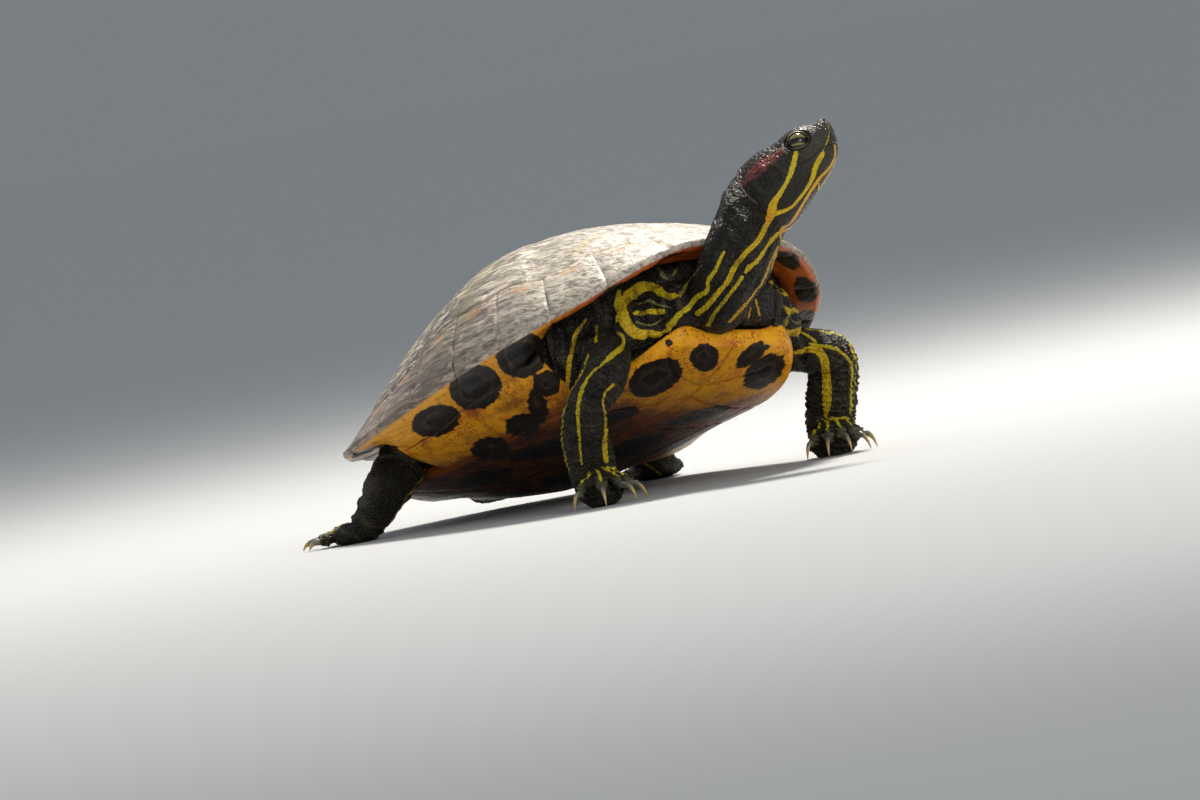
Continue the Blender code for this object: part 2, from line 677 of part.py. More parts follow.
def build_head(collection):
    rings = np.array([head_to_ground(head_ring(u)) for u in HEAD_STATIONS])
    head = loft(rings, "head", collection)
    lids = []
    cuts = []
    for side in (-1, 1):
        axes = np.array(eye_axes(side))
        centre = eye_centre(side)
        lids.append(head_ball(centre, (LID_RADIUS + 0.2, LID_RADIUS - 0.3, LID_RADIUS), axes, "lid", collection, 10, 14))
        cuts.append(head_ball(centre, [EYE_RADIUS + GAP] * 3, axes, "socket", collection, 8, 14))
        start = centre + axes[2] * 2.4
        cuts.append(head_rod(start, centre + axes[2] * 8.0, EYE_OPENING, axes, "opening", collection))
        nostril = np.array((12.0, side * 1.1, 0.2))
        cross = np.array(((0, 1.0, 0), (0, 0, 1.0)))
        cuts.append(head_rod(nostril, nostril + (3.0, side * 0.4, 0.6), (0.45, 0.5), cross, "nostril", collection, 6))
    apply_boolean(head, "UNION", lids)
    apply_boolean(head, "DIFFERENCE", cuts)
    finish(head, "skin")
    return head


def build_eyes(collection):
    for side, name in ((-1, "eye_right"), (1, "eye_left")):
        eye = head_ball(eye_centre(side), [EYE_RADIUS] * 3, eye_axes(side), name, collection, 8, 14)
        finish(eye, "eye")


def neck_solid(name, collection, grow=0.0):
    """The neck from inside the shell up to the back of the head, its last ring the head's own."""
    path = np.array(NECK_PATH, float)
    reach = np.concatenate([[0], np.cumsum(np.linalg.norm(np.diff(path, axis=0), axis=1))])
    at = np.linspace(0, reach[-1], 9)
    centre = spline(reach, path, at)
    along = unit(np.gradient(centre, at, axis=0))
    lean = 0.7 * smooth_step(0.55, 1.0, at / reach[-1])[:, None]
    along = unit(mix(lean, along, head_axes()[0]))
    side = unit(np.cross((-0.5, -0.2, 0.8), along))
    over = np.cross(along, side)
    wide = spline(reach, NECK_WIDE, at) + grow
    tall = spline(reach, NECK_TALL, at) + grow
    last = head_ring(HEAD_STATIONS[0] - GAP)
    turn = np.array(head_axes())
    last = last @ turn + HEAD_AT
    count = len(last)
    angles = math.pi / 2 - np.arange(count) * 2 * math.pi / count
    rings = [
        c + w * s * -np.cos(angles)[:, None] + t * o * np.sin(angles)[:, None]
        for c, s, o, w, t in zip(centre, side, over, wide, tall)
    ]
    rings[0] = centre[0] + (rings[0] - centre[0]) * 0.8
    rings.append(last)
    return loft(to_ground(np.array(rings)), name, collection)


LEGS = {
    "foreleg_right": {
        "root": ((50, -32, -8), (62, -41, -9)),
        "path": ((72.4, -56, 46.2), (68.6, -64, 36), (64, -62.5, 26.8), (63, -61, 14.5), (65, -62, 7)),
        "wide": (8.5, 9.0, 8.3, 7.8, 9.3, 9.6, 8.8),
        "tall": (7.0, 8.0, 7.8, 7.4, 7.6, 7.2, 6.2),
        "foot": (67, -62.5, 5.2),
        "toes": (-84, -38, 2, 28, 50),
        "claw": (4.5, 6.5, 7.0, 6.5, 5.0),
        "knuckle": (10.5, 10.0),
        "arch": (0.96, 0.92, 0.66),
        "palm": (8.0, 9.0, 6.0),
    },
    "foreleg_left": {
        "root": ((48, 32, -8), (56, 42, -9)),
        "path": ((63, 53.5, 40), (66, 61.4, 35.3), (62.6, 62.6, 25), (59, 62.2, 14.8), (59.8, 60, 7.5)),
        "wide": (8.5, 9.0, 9.0, 9.5, 10.0, 10.6, 10.0),
        "tall": (7.0, 8.0, 8.4, 8.6, 8.4, 8.0, 7.0),
        "foot": (61, 59.5, 5.2),
        "toes": (-84, -50, -21, 9, 36),
        "claw": (4.5, 6.0, 6.5, 6.0, 5.0),
        "knuckle": (10.5, 10.0),
        "arch": (0.96, 0.92, 0.66),
        "palm": (8.4, 9.6, 6.0),
    },
    "hindleg_right": {
        "root": ((-38, -34, -10), (-50, -46, -12)),
        "path": ((-50, -58, 22), (-49, -66, 16), (-52, -70, 10), (-56, -73, 6.0)),
        "wide": (10.0, 11.0, 11.5, 11.0, 10.0, 9.0),
        "tall": (8.0, 9.0, 9.0, 8.0, 7.0, 5.5),
        "foot": (-58, -75, 3.6),
        "toes": (150, 172, 194, 216, 240),
        "claw": (5.0, 7.0, 7.5, 7.0, 4.5),
        "knuckle": (13.5, 3.3),
        "arch": (0.8, 1.08, 1.0),
        "palm": (12.5, 10.5, 4.4),
    },
    "hindleg_left": {
        "root": ((-38, 34, -10), (-51, 46.5, -12)),
        "path": ((-51, 57.5, 16.0), (-50.5, 64.5, 10.5), (-51, 69, 6.8), (-55, 73, 5.2)),
        "wide": (9.0, 10.0, 10.0, 10.0, 9.5, 9.0),
        "tall": (6.0, 6.5, 7.0, 6.4, 5.4, 4.8),
        "foot": (-57, 75, 3.6),
        "toes": (-150, -172, -194, -216, -240),
        "claw": (5.0, 7.0, 7.5, 7.0, 4.5),
        "knuckle": (13.5, 3.3),
        "arch": (0.8, 1.08, 1.0),
        "palm": (12.5, 10.5, 4.4),
    },
}


def leg_path(spec):
    return np.concatenate([to_ground(spec["root"]), np.array(spec["path"], float)])


def leg_limb(spec, name, collection, grow=0.0):
    path = leg_path(spec)
    wide = np.array(spec["wide"]) + grow
    tall = np.array(spec["tall"]) + grow
    return tube(path, wide, tall, (0, 0, 1.0), 10, name, collection, steps=11)


TOE_SHIFTS = (-0.4, 0.05, 0.3, 0.0, -0.25)
CLAW_TAPER = ((-0.2, 1.25), (0.1, 1.3), (0.6, 0.85), (1.0, 0.22))
CLAW_TIP_HEIGHT = 0.45
UP = np.array((0, 0, 1.0))


def toe_lines(spec):
    """For each toe its direction, the three points of its path, and how far its claw reaches."""
    centre = np.array(spec["foot"], float)
    reach, rise = spec["knuckle"]
    toes = []
    for angle, claw, shift in zip(spec["toes"], spec["claw"], TOE_SHIFTS):
        direction = np.array((math.cos(math.radians(angle)), math.sin(math.radians(angle)), 0))
        path = centre + direction * reach * np.array((0.3, 0.68, 1.0))[:, None]
        path[:, 2] = np.array(spec["arch"]) * rise + shift
        toes.append((direction, path, claw))
    return toes


def claw_line(knuckle, direction, reach, share):
    """A claw's middle line, which leaves its toe and curves down to the ground."""
    share = np.asarray(share, float)[:, None]
    over = knuckle + direction * reach * 0.8 + UP * 0.6
    tip = knuckle + direction * reach
    tip[2] = CLAW_TIP_HEIGHT
    return (1 - share) ** 2 * knuckle + 2 * share * (1 - share) * over + share**2 * tip


def claw_solid(knuckle, direction, reach, name, collection):
    share, radius = np.array(CLAW_TAPER).T
    centre = claw_line(knuckle, direction, reach, share)
    along = unit(claw_line(knuckle, direction, reach, share + 0.02) - centre)
    side = unit(np.cross(UP, direction))
    turn = np.linspace(0, 2 * math.pi, 5, endpoint=False) + math.pi / 2
    rings = [
        c + r * (np.cos(turn)[:, None] * side + np.sin(turn)[:, None] * np.cross(a, side))
        for c, a, r in zip(centre, along, radius)
    ]
    return loft(np.array(rings), name, collection)


def build_leg(name, spec, collection):
    leg = leg_limb(spec, name, collection)
    middle = math.radians(np.mean(spec["toes"]))
    ahead = np.array((math.cos(middle), math.sin(middle), 0))
    across = np.array((-math.sin(middle), math.cos(middle), 0))
    pieces = [ball(spec["foot"], spec["palm"], (ahead, across, UP), "palm", collection, 6, 10)]
    for direction, path, claw in toe_lines(spec):
        pieces.append(tube(path, (2.6, 2.7, 2.2), (2.6, 2.7, 2.2), (0, 0, 1.0), 6, "toe", collection, 3))
        pieces.append(claw_solid(path[-1] + direction * 0.6, direction, claw, "claw", collection))
    apply_boolean(leg, "UNION", pieces)
    floor = mesh_object(*box_mesh((-200, -200, -30), (200, 200, 0)), "floor", collection)
    apply_boolean(leg, "DIFFERENCE", [floor])
    for cutter in shell_cutters(collection):
        apply_boolean(leg, "DIFFERENCE", [cutter])
    finish(leg, "skin")
    return leg


def box_mesh(low, high):
    points = [(x, y, z) for x in (low[0], high[0]) for y in (low[1], high[1]) for z in (low[2], high[2])]
    faces = [(0, 1, 3, 2), (4, 6, 7, 5), (0, 4, 5, 1), (2, 3, 7, 6), (0, 2, 6, 4), (1, 5, 7, 3)]
    return np.array(points, float), faces


TAIL_PATH = ((-66, 6, -12), (-80, 9, -15), (-91, 15, -19), (-94, 28, -18.5), (-88, 41, -17))
TAIL_RADII = (7.5, 6.6, 5.2, 3.6, 1.5)


def tail_solid(name, collection, grow=0.0):
    radii = np.array(TAIL_RADII) + grow
    return tube(to_ground(TAIL_PATH), radii, radii * 0.9, (0, 0, 1.0), 10, name, collection, steps=8)


def torso_core(name, collection):
    """The body inside the shell, from wall to wall, with its bare skin at the front and rear openings."""
    columns = 2 * LAST_SEAM
    t = np.arange(columns) - LAST_SEAM + 0.5
    clear = 1.8 * GAP
    share = bridge_share(t)
    lip = lip_share(t) - mix(share, 2.2, 1.2) / 80
    lip_z = shell_point(t, 2.0)[:, 2]
    rings = [cavity_ring(t, part, clear) for part in CAVITY_SHARES]
    over_plastron = PLASTRON_THICKNESS + clear
    floor = plastron_z(rings[-1][:, 0] * 0.9) + over_plastron
    rings.append(spoke_ring(t, lip, lip_z + 1.0))
    rings.append(spoke_ring(t, lip * mix(share, 1.0, 0.86), mix(0.5, lip_z, floor)))
    rings.append(spoke_ring(t, lip * mix(share, 0.93, 0.70), floor))
    rings.append(spoke_ring(t, lip * 0.45, plastron_z(rings[-1][:, 0] * 0.5) + over_plastron))
    rings = np.array(rings)
    top = (DOME_CENTRE_X, 0, DOME_HEIGHT - SHELL_WALL - clear)
    under = (DOME_CENTRE_X, 0, over_plastron - PLASTRON_DEPTH)
    points = np.concatenate([rings.reshape(-1, 3), [top, under]])
    faces = grid_faces(len(rings), columns, closed=True)
    faces += fan_faces(0, columns, len(points) - 2)
    faces += fan_faces((len(rings) - 1) * columns, columns, len(points) - 1)
    return mesh_object(to_ground(points), faces, name, collection)


JOINT_BALLS = (
    ((68, 30, -4), (15, 14, 11)),
    ((78, 15, 0), (16, 16, 10.5)),
    ((-62, 34, -8), (14, 14, 10)),
)


def build_torso(collection):
    torso = torso_core("torso", collection)
    bulges = []
    for (x, y, z), radii in JOINT_BALLS:
        for side in (-1, 1):
            place = to_ground((x, side * y, z))
            bulges.append(ball(place, radii, stance_matrix().T, "joint", collection, 6, 10))
    apply_boolean(torso, "UNION", bulges)
    cuts = [neck_solid("cut_neck", collection, GAP), tail_solid("cut_tail", collection, GAP)]
    cuts += [leg_limb(spec, "cut_leg", collection, GAP) for spec in LEGS.values()]
    for cutter in cuts + shell_cutters(collection, CUT_PROUD):
        apply_boolean(torso, "DIFFERENCE", [cutter])
    finish(torso, "skin")
    return torso


def build_neck(collection):
    neck = neck_solid("neck", collection)
    for cutter in shell_cutters(collection):
        apply_boolean(neck, "DIFFERENCE", [cutter])
    finish(neck, "skin")
    return neck


def build_tail(collection):
    tail = tail_solid("tail", collection)
    for cutter in shell_cutters(collection):
        apply_boolean(tail, "DIFFERENCE", [cutter])
    finish(tail, "skin")
    return tail


def build():
    clear_scene()
    collection = make_collection("red_eared_slider")
    build_carapace(collection)
    build_plastron(collection)
    build_head(collection)
    build_eyes(collection)
    build_neck(collection)
    for name, spec in LEGS.items():
        build_leg(name, spec, collection)
    build_tail(collection)
    build_torso(collection)


build()
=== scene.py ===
"""The red-eared slider's looks: skin, shell, eyes, claws and markings, with floor, light and camera.

Shapes are drawn in millimetres, in the shell's own axes or on the ground, as in the part's source.
Markings that the picture shows are placed by its pixels: a ray from the camera finds them on the model.
"""

import math

import bpy
import numpy as np
from mathutils import Matrix, Vector
from mathutils.bvhtree import BVHTree
from mathutils.kdtree import KDTree


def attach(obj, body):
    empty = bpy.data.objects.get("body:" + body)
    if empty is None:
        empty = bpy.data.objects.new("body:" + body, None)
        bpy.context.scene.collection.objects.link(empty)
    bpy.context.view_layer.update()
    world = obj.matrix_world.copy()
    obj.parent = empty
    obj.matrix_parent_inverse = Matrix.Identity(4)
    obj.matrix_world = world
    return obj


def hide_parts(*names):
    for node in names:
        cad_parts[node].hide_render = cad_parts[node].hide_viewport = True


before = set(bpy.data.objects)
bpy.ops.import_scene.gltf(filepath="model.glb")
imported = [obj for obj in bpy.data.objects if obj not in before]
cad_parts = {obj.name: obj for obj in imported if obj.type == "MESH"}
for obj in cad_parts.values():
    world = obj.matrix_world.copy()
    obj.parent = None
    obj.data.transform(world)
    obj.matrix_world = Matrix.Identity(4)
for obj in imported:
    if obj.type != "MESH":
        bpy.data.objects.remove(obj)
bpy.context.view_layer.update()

MM = 0.001
# A length too short to divide by, a distance out of reach, and the way up
TINY = 1e-12
FAR = 9.0
UP = np.array((0, 0, 1.0))

# Driving sizes, shared with the part's source
CARAPACE_LENGTH = 200.0
STANCE_PITCH = math.radians(11.4)
STANCE_ROLL = math.radians(8.6)
STANCE_HEIGHT = 47.0
MODEL_MIDDLE = (17.3937, 0.0, 0.0)
PLATE_RISE = 0.6

RIM_X = (
    (0.490, 0.495, 0.470, 0.400, 0.300, 0.185, 0.060)
    + (-0.060, -0.175, -0.284, -0.372, -0.440, -0.487, -0.494)
)
RIM_Y = (0.0, 0.030, 0.150, 0.250, 0.315, 0.350, 0.365, 0.375, 0.380, 0.358, 0.300, 0.218, 0.115, 0.0)
RIM_Z_SEAMS = (0, 1.5, 3.5, 6, 9, 11.5, 13)
RIM_Z = (18.2, 20.5, 6.4, -3.5, -11.8, -3.6, -2.0)
LAST_SEAM = 13
DOME_CENTRE_X = -12.0
DOME_HEIGHT = 48.5
DOME_POWER = 2.2
DOME_EDGE_OPEN = 0.80
DOME_EDGE_BRIDGE = 0.66
DOME_EDGE_REAR = 1.3
DOME_EDGE_FRONT = 1.05
REAR_FLARE_SEAMS = (6.0, 9.0)
FRONT_FLARE_SEAMS = (3.5, 1.5)
MARGINAL_START = 0.86
RIM_THICKNESS = 2.4
LIP_WIDTH_OPEN = 12.0
LIP_WIDTH_BRIDGE = 9.0
LIP_DROP_OPEN = -2.0
LIP_DROP_BRIDGE = 8.0
SHELL_WALL = 4.0
BRIDGE_SEAMS = (4.0, 4.7, 7.7, 8.7)

VERTEBRAL_X = (-0.425, -0.31, -0.225, -0.13, -0.035, 0.07, 0.165, 0.265, 0.385, 0.40)
VERTEBRAL_HALF = (0.125, 0.065, 0.105, 0.080, 0.115, 0.085, 0.115, 0.075, 0.100, 0.095)
VERTEBRAL_SEAMS = (0.400, 0.265, 0.070, -0.130, -0.310, -0.428)
COSTAL_INNER = (0.385, 0.165, -0.035, -0.225, -0.375)
COSTAL_OUTER = (1.7, 5.35, 7.35, 9.25, 11.35)

PLASTRON_DEPTH = 27.0
PLASTRON_THICKNESS = 4.2
LOBE_START = 40.0
LOBE_RISE = 0.235
REAR_LOBE_START = -50.0
REAR_LOBE_RISE = 4.0
PLASTRON_X = (-90, -84, -74, -60, -46, -34, 40, 50, 62, 70, 78, 84, 86)
PLASTRON_HALF = (15, 26, 37, 43.4, 45, 45, 44.2, 43.6, 41.3, 38.0, 33.0, 26.8, 23.4)
PLASTRON_SEAMS_MIDLINE = (86.0, 62.0, 54.0, 18.0, -28.0, -58.0, -87.0)
PLASTRON_SEAMS_EDGE = (84.5, 83.0, 40.0, 22.0, -37.0, -66.0, -89.5)
BRIDGE_FRONT = 47.0
BRIDGE_REAR = -36.0

HEAD_AT = np.array((131.4, 10.6, 48.5))
HEAD_FORWARD = np.array((0.8047, 0.5132, 0.2956))
HEAD_UP = np.array((-0.1471, -0.3094, 0.9403))
HEAD_STATIONS = (-24.0, -20.0, -16.0, -12.0, -8.5, -5.5, -2.5, 0.5, 3.0, 5.5, 7.7, 9.4, 10.6, 11.5, 12.2)
HEAD_TOP = (3.1, 3.8, 4.3, 4.0, 3.7, 4.2, 4.8, 4.7, 4.1, 2.9, 2.5, 2.5, 2.4, 1.8, -0.4)
HEAD_BOTTOM = (
    (-26.0, -25.4, -24.4, -22.6, -21.2, -20.0, -18.8, -17.4)
    + (-16.2, -14.8, -13.0, -10.9, -8.4, -5.7, -3.0)
)
HEAD_HALF = (13.2, 13.6, 13.5, 13.0, 12.0, 10.9, 10.0, 9.2, 8.4, 7.5, 6.3, 5.1, 4.1, 3.1, 1.6)
EYE_RADIUS = 4.3
EYE_SIDE = 4.8
EYE_HEIGHT = -1.55
EYE_BACK = 0.6
EYE_OPENING = (4.05, 3.05)
LID_RADIUS = 5.3

NECK_PATH = ((62, 0, -7), (81, -4, -3), (96.3, -10.4, 1.9), (108.4, -9.4, 12.4), (112.5, -4.5, 22.5))
NECK_WIDE = (12.0, 13.0, 13.5, 14.0, 14.3)
NECK_TALL = (7.5, 9.3, 11.4, 13.4, 15.0)

# The camera: the picture's axes on the ground, and where the shell's origin stands in the picture
PICTURE_RIGHT = np.array((0.6528, 0.7356, -0.181))
PICTURE_UP = np.array((0.0978, 0.1552, 0.983))
PIXELS_PER_MM = 2.70
PICTURE_SIZE = np.array((1200.0, 800.0))
SHELL_PIXEL = np.array((586.8, 371.2))
CAMERA_DISTANCE = 6000.0
SENSOR_WIDTH = 36.0


def spline(stations, values, at):
    """Smooth curve through values, numbers or points, given at rising stations."""
    stations = np.asarray(stations, float)
    values = np.asarray(values, float)
    at = np.clip(np.asarray(at, float), stations[0], stations[-1])
    slopes = np.gradient(values, stations, axis=0)
    k = np.clip(np.searchsorted(stations, at, side="right") - 1, 0, len(stations) - 2)
    span = stations[k + 1] - stations[k]
    u = (at - stations[k]) / span
    if values.ndim > 1:
        span = span[..., None]
        u = u[..., None]
    start = (2 * u**3 - 3 * u**2 + 1) * values[k] + (u**3 - 2 * u**2 + u) * span * slopes[k]
    return start + (3 * u**2 - 2 * u**3) * values[k + 1] + (u**3 - u**2) * span * slopes[k + 1]


def smooth_step(low, high, at):
    u = np.clip((np.asarray(at, float) - low) / (high - low), 0, 1)
    return u * u * (3 - 2 * u)


def bump_at(centre, width, at):
    """1 at the centre, falling smoothly to nothing at about twice the width."""
    return np.exp(-(((np.asarray(at, float) - centre) / width) ** 2))


def mix(share, low, high):
    return low + (high - low) * share


def reach_along(path):
    """How far along a path each of its points lies."""
    return np.concatenate([[0], np.cumsum(np.linalg.norm(np.diff(path, axis=0), axis=1))])


def unit(vector):
    vector = np.asarray(vector, float)
    return vector / np.maximum(np.linalg.norm(vector, axis=-1, keepdims=True), TINY)


STANCE = np.array(Matrix.Rotation(-STANCE_PITCH, 3, "Y") @ Matrix.Rotation(-STANCE_ROLL, 3, "X"))


def to_ground(points):
    """Points in the shell's axes, set on the ground in the animal's stance."""
    return np.asarray(points, float) @ STANCE.T + (0, 0, STANCE_HEIGHT)


def to_shell(points):
    """Points on the ground, in the shell's axes."""
    return (np.asarray(points, float) - (0, 0, STANCE_HEIGHT)) @ STANCE


# Noise

HASH_STEPS = np.array((73856093, 19349663, 83492791))
SEED_STEP = 26544357
CELL_SPREAD = 0.8


def hash_values(cell, seed):
    """A repeatable number from 0 to 1 for each cell of whole numbers."""
    steps = cell * HASH_STEPS
    mixed = steps[..., 0] ^ steps[..., 1] ^ steps[..., 2] ^ (seed * SEED_STEP)
    mixed = (mixed ^ (mixed >> 13)) * 1274126177
    mixed = (mixed ^ (mixed >> 15)) * 668265263
    return ((mixed ^ (mixed >> 16)) & 0xFFFFFF) / 0xFFFFFF


def noise(points, size, seed=0):
    """Smooth noise from -1 to 1, with lumps about size wide."""
    at = np.asarray(points, float) / size
    low = np.floor(at).astype(np.int64)
    u = at - low
    u = u * u * (3 - 2 * u)
    total = np.zeros(at.shape[:-1])
    for corner in np.ndindex(2, 2, 2):
        weight = np.ones_like(total)
        for axis, high in enumerate(corner):
            weight = weight * (u[..., axis] if high else 1 - u[..., axis])
        total += weight * hash_values(low + np.array(corner), seed)
    return total * 2 - 1


def cell_edges(points, size, seed=0):
    """How far each point is from the border between scattered cells: 0 on it, about 0.5 in the middle."""
    at = np.asarray(points, float) / size
    low = np.floor(at).astype(np.int64)
    first = np.full(at.shape[:-1], FAR)
    second = np.full(at.shape[:-1], FAR)
    for step in np.ndindex(3, 3, 3):
        cell = low + np.array(step) - 1
        centre = cell + 0.5
        for axis in range(3):
            centre[..., axis] += CELL_SPREAD * (hash_values(cell, seed + 11 * axis) - 0.5)
        far = np.linalg.norm(at - centre, axis=-1)
        second = np.minimum(second, np.maximum(first, far))
        first = np.minimum(first, far)
    return second - first


def wobbled(points, size, seed, amount):
    """Points shifted by smooth noise, so that lines drawn on them run unevenly."""
    return points + np.stack([noise(points, size, seed + k) for k in range(3)], -1) * amount


def long_noise(points, lengths, seed):
    """Noise whose lumps are as long along each axis as lengths says."""
    return noise(points * (1 / np.array(lengths)), 1.0, seed)


# Meshes


def mesh_object(name, points, faces):
    """An object from points in millimetres on the ground's axes, set where the part's frame has it."""
    mesh = bpy.data.meshes.new(name)
    placed = (np.asarray(points, float).reshape(-1, 3) - MODEL_MIDDLE) * MM
    corners = np.concatenate([block.ravel() for block in faces]).astype(np.int32)
    sizes = np.concatenate([np.full(len(block), block.shape[1]) for block in faces])
    starts = np.concatenate([[0], np.cumsum(sizes)[:-1]]).astype(np.int32)
    mesh.vertices.add(len(placed))
    mesh.vertices.foreach_set("co", placed.astype(np.float32).ravel())
    mesh.loops.add(len(corners))
    mesh.loops.foreach_set("vertex_index", corners)
    mesh.polygons.add(len(starts))
    mesh.polygons.foreach_set("loop_start", starts)
    mesh.update(calc_edges=True)
    mesh.validate()
    mesh.shade_smooth()
    obj = bpy.data.objects.new(name, mesh)
    bpy.context.scene.collection.objects.link(obj)
    return obj


def grid_faces(rows, columns, closed=False):
    """Four-cornered faces of a grid of points, joined round where it is closed."""
    last = columns if closed else columns - 1
    i, j = np.meshgrid(np.arange(rows - 1), np.arange(last), indexing="ij")
    k = (j + 1) % columns
    near, far = i * columns, (i + 1) * columns
    return np.stack([near + j, near + k, far + k, far + j], -1).reshape(-1, 4)


def fan_faces(first, columns, tip, flip=False):
    j = np.arange(columns)
    ring = (first + j, first + (j + 1) % columns)
    ring = ring[::-1] if flip else ring
    return np.stack([*ring, np.full(columns, tip)], -1)


def set_attribute(obj, name, values):
    """Stores one number, or one vector, at each vertex."""
    values = np.asarray(values, np.float32)
    kind, field = ("FLOAT", "value") if values.ndim == 1 else ("FLOAT_VECTOR", "vector")
    attribute = obj.data.attributes.new(name, kind, "POINT")
    attribute.data.foreach_set(field, values.ravel())


def vertex_points(obj):
    """An object's vertices, in millimetres on the ground's axes."""
    count = len(obj.data.vertices)
    points = np.zeros(count * 3, np.float32)
    obj.data.vertices.foreach_get("co", points)
    return points.reshape(-1, 3).astype(float) / MM + MODEL_MIDDLE


def vertex_normals(obj):
    normals = np.zeros(len(obj.data.vertices) * 3, np.float32)
    obj.data.vertices.foreach_get("normal", normals)
    return normals.reshape(-1, 3).astype(float)


def join_trees(*objects):
    """A search tree over the faces of one or more objects."""
    points, polygons = [], []
    for obj in objects:
        count = len(points)
        points += [Vector(p) for p in vertex_points(obj).tolist()]
        polygons += [tuple(v + count for v in f.vertices) for f in obj.data.polygons]
    return BVHTree.FromPolygons(points, polygons)


def gathered(pieces):
    """The points and faces of several pieces as one."""
    total, points, faces = 0, [], []
    for piece_points, piece_faces in pieces:
        points.append(piece_points)
        faces += [block + total for block in piece_faces]
        total += len(piece_points)
    return np.concatenate(points), faces


# The camera's rays


def picture_axes():
    right = unit(PICTURE_RIGHT)
    up = unit(PICTURE_UP - right * (PICTURE_UP @ right))
    return right, up, np.cross(right, up)


def picture_middle():
    """The ground point that the middle of the picture looks at."""
    right, up, _ = picture_axes()
    across, down = (PICTURE_SIZE / 2 - SHELL_PIXEL) / PIXELS_PER_MM
    return to_ground((0, 0, 0)) + right * across - up * down


def pixel_on(tree, pixel):
    """The point where a pixel's ray meets a surface, or None."""
    right, up, back = picture_axes()
    middle = picture_middle()
    eye = middle + back * CAMERA_DISTANCE
    across, down = (np.asarray(pixel, float) - PICTURE_SIZE / 2) / PIXELS_PER_MM
    aim = unit(middle + right * across - up * down - eye)
    place = tree.ray_cast(Vector(eye), Vector(aim))[0]
    return None if place is None else np.array(place)


def line_on(tree, pixels, step=2.0):
    """A smooth line through pixels, laid on a surface, with each point's share along it."""
    pixels = np.asarray(pixels, float)
    reach = reach_along(pixels)
    at = np.linspace(0, reach[-1], max(2, int(reach[-1] / step)))
    found = [(pixel_on(tree, p), s) for p, s in zip(spline(reach, pixels, at), at / reach[-1])]
    found = [(p, s) for p, s in found if p is not None]
    return np.array([p for p, s in found]).reshape(-1, 3), np.array([s for p, s in found])


def middle_tree(starts, ends):
    """A search tree of the middles of short lines."""
    tree = KDTree(len(starts))
    for i, place in enumerate((starts + ends) / 2):
        tree.insert(place, i)
    tree.balance()
    return tree


def onto_segments(points, starts, ends):
    """The share along its short line that lies nearest to each point, and the distance to it."""
    span = ends - starts
    away = points - starts
    u = np.clip((away * span).sum(-1) / np.maximum((span**2).sum(-1), 1e-9), 0, 1)
    return u, np.linalg.norm(away - span * u[:, None], axis=-1)


def near_lines(points, lines):
    """Distance from each point to the nearest of some lines, and the number of that line."""
    starts = np.concatenate([line[:-1] for line in lines])
    ends = np.concatenate([line[1:] for line in lines])
    owner = np.concatenate([np.full(len(line) - 1, k) for k, line in enumerate(lines)])
    tree = middle_tree(starts, ends)
    picked = np.array([tree.find(p)[1] for p in points.tolist()])
    return onto_segments(points, starts[picked], ends[picked])[1], owner[picked]


def dense(line, step):
    """More points along a line, no further apart than step."""
    line = np.asarray(line, float)
    reach = reach_along(line)
    at = np.linspace(0, reach[-1], max(2, int(reach[-1] / step) + 1))
    return np.stack([np.interp(at, reach, line[:, k]) for k in range(line.shape[1])], -1)


# The carapace

CARAPACE_GROOVE = 0.42
GROWTH_RING = 1.7


def rim(t):
    """The carapace's edge at seam t, which is negative on the right side."""
    at = np.abs(t)
    seams = np.arange(LAST_SEAM + 1)
    x = spline(seams, RIM_X, at) * CARAPACE_LENGTH
    y = spline(seams, RIM_Y, at) * CARAPACE_LENGTH * np.sign(t)
    z = spline(RIM_Z_SEAMS, RIM_Z, at)
    return np.stack([x, y, z], axis=-1)


def bridge_share(t):
    """1 along the bridges and 0 at the open front and rear."""
    at = np.abs(t)
    first, full, fade, last = BRIDGE_SEAMS
    return smooth_step(first, full, at) * (1 - smooth_step(fade, last, at))


def dome_height(t, r):
    at = np.abs(t)
    edge = mix(bridge_share(t), DOME_EDGE_OPEN, DOME_EDGE_BRIDGE)
    edge = mix(smooth_step(*REAR_FLARE_SEAMS, at), edge, DOME_EDGE_REAR)
    edge = mix(smooth_step(*FRONT_FLARE_SEAMS, at), edge, DOME_EDGE_FRONT)
    return rim(t)[..., 2] * r**2 + DOME_HEIGHT * np.clip(1 - r**DOME_POWER, 0, 1) ** edge


def shell_point(t, q):
    """The shell's skin: q from 0 to 1 runs over the dome to its rim, and on to 2 under the lip."""
    t, q = np.broadcast_arrays(np.asarray(t, float), np.asarray(q, float))
    edge = rim(t)
    spoke = edge[..., :2] - (DOME_CENTRE_X, 0)
    reach = np.linalg.norm(spoke, axis=-1)
    share = bridge_share(t)
    under = np.clip(q - 1, 0, 1)
    r = np.where(q <= 1, q, 1 - mix(share, LIP_WIDTH_OPEN, LIP_WIDTH_BRIDGE) * under / reach)
    over_z = dome_height(t, np.clip(q, 0, 1))
    round_edge = RIM_THICKNESS * np.sqrt(np.clip(under / 0.15, 0, 1))
    under_z = edge[..., 2] - round_edge - mix(share, LIP_DROP_OPEN, LIP_DROP_BRIDGE) * under
    plan = spoke * r[..., None] + (DOME_CENTRE_X, 0)
    return np.concatenate([plan, np.where(q <= 1, over_z, under_z)[..., None]], axis=-1)


SAMPLE_T = np.linspace(-LAST_SEAM, LAST_SEAM, 521)
SAMPLE_RIM = rim(SAMPLE_T)[:, :2] - (DOME_CENTRE_X, 0)
SAMPLE_ANGLE = np.unwrap(np.arctan2(SAMPLE_RIM[:, 1], SAMPLE_RIM[:, 0]))
SAMPLE_ANGLE -= SAMPLE_ANGLE[len(SAMPLE_ANGLE) // 2]


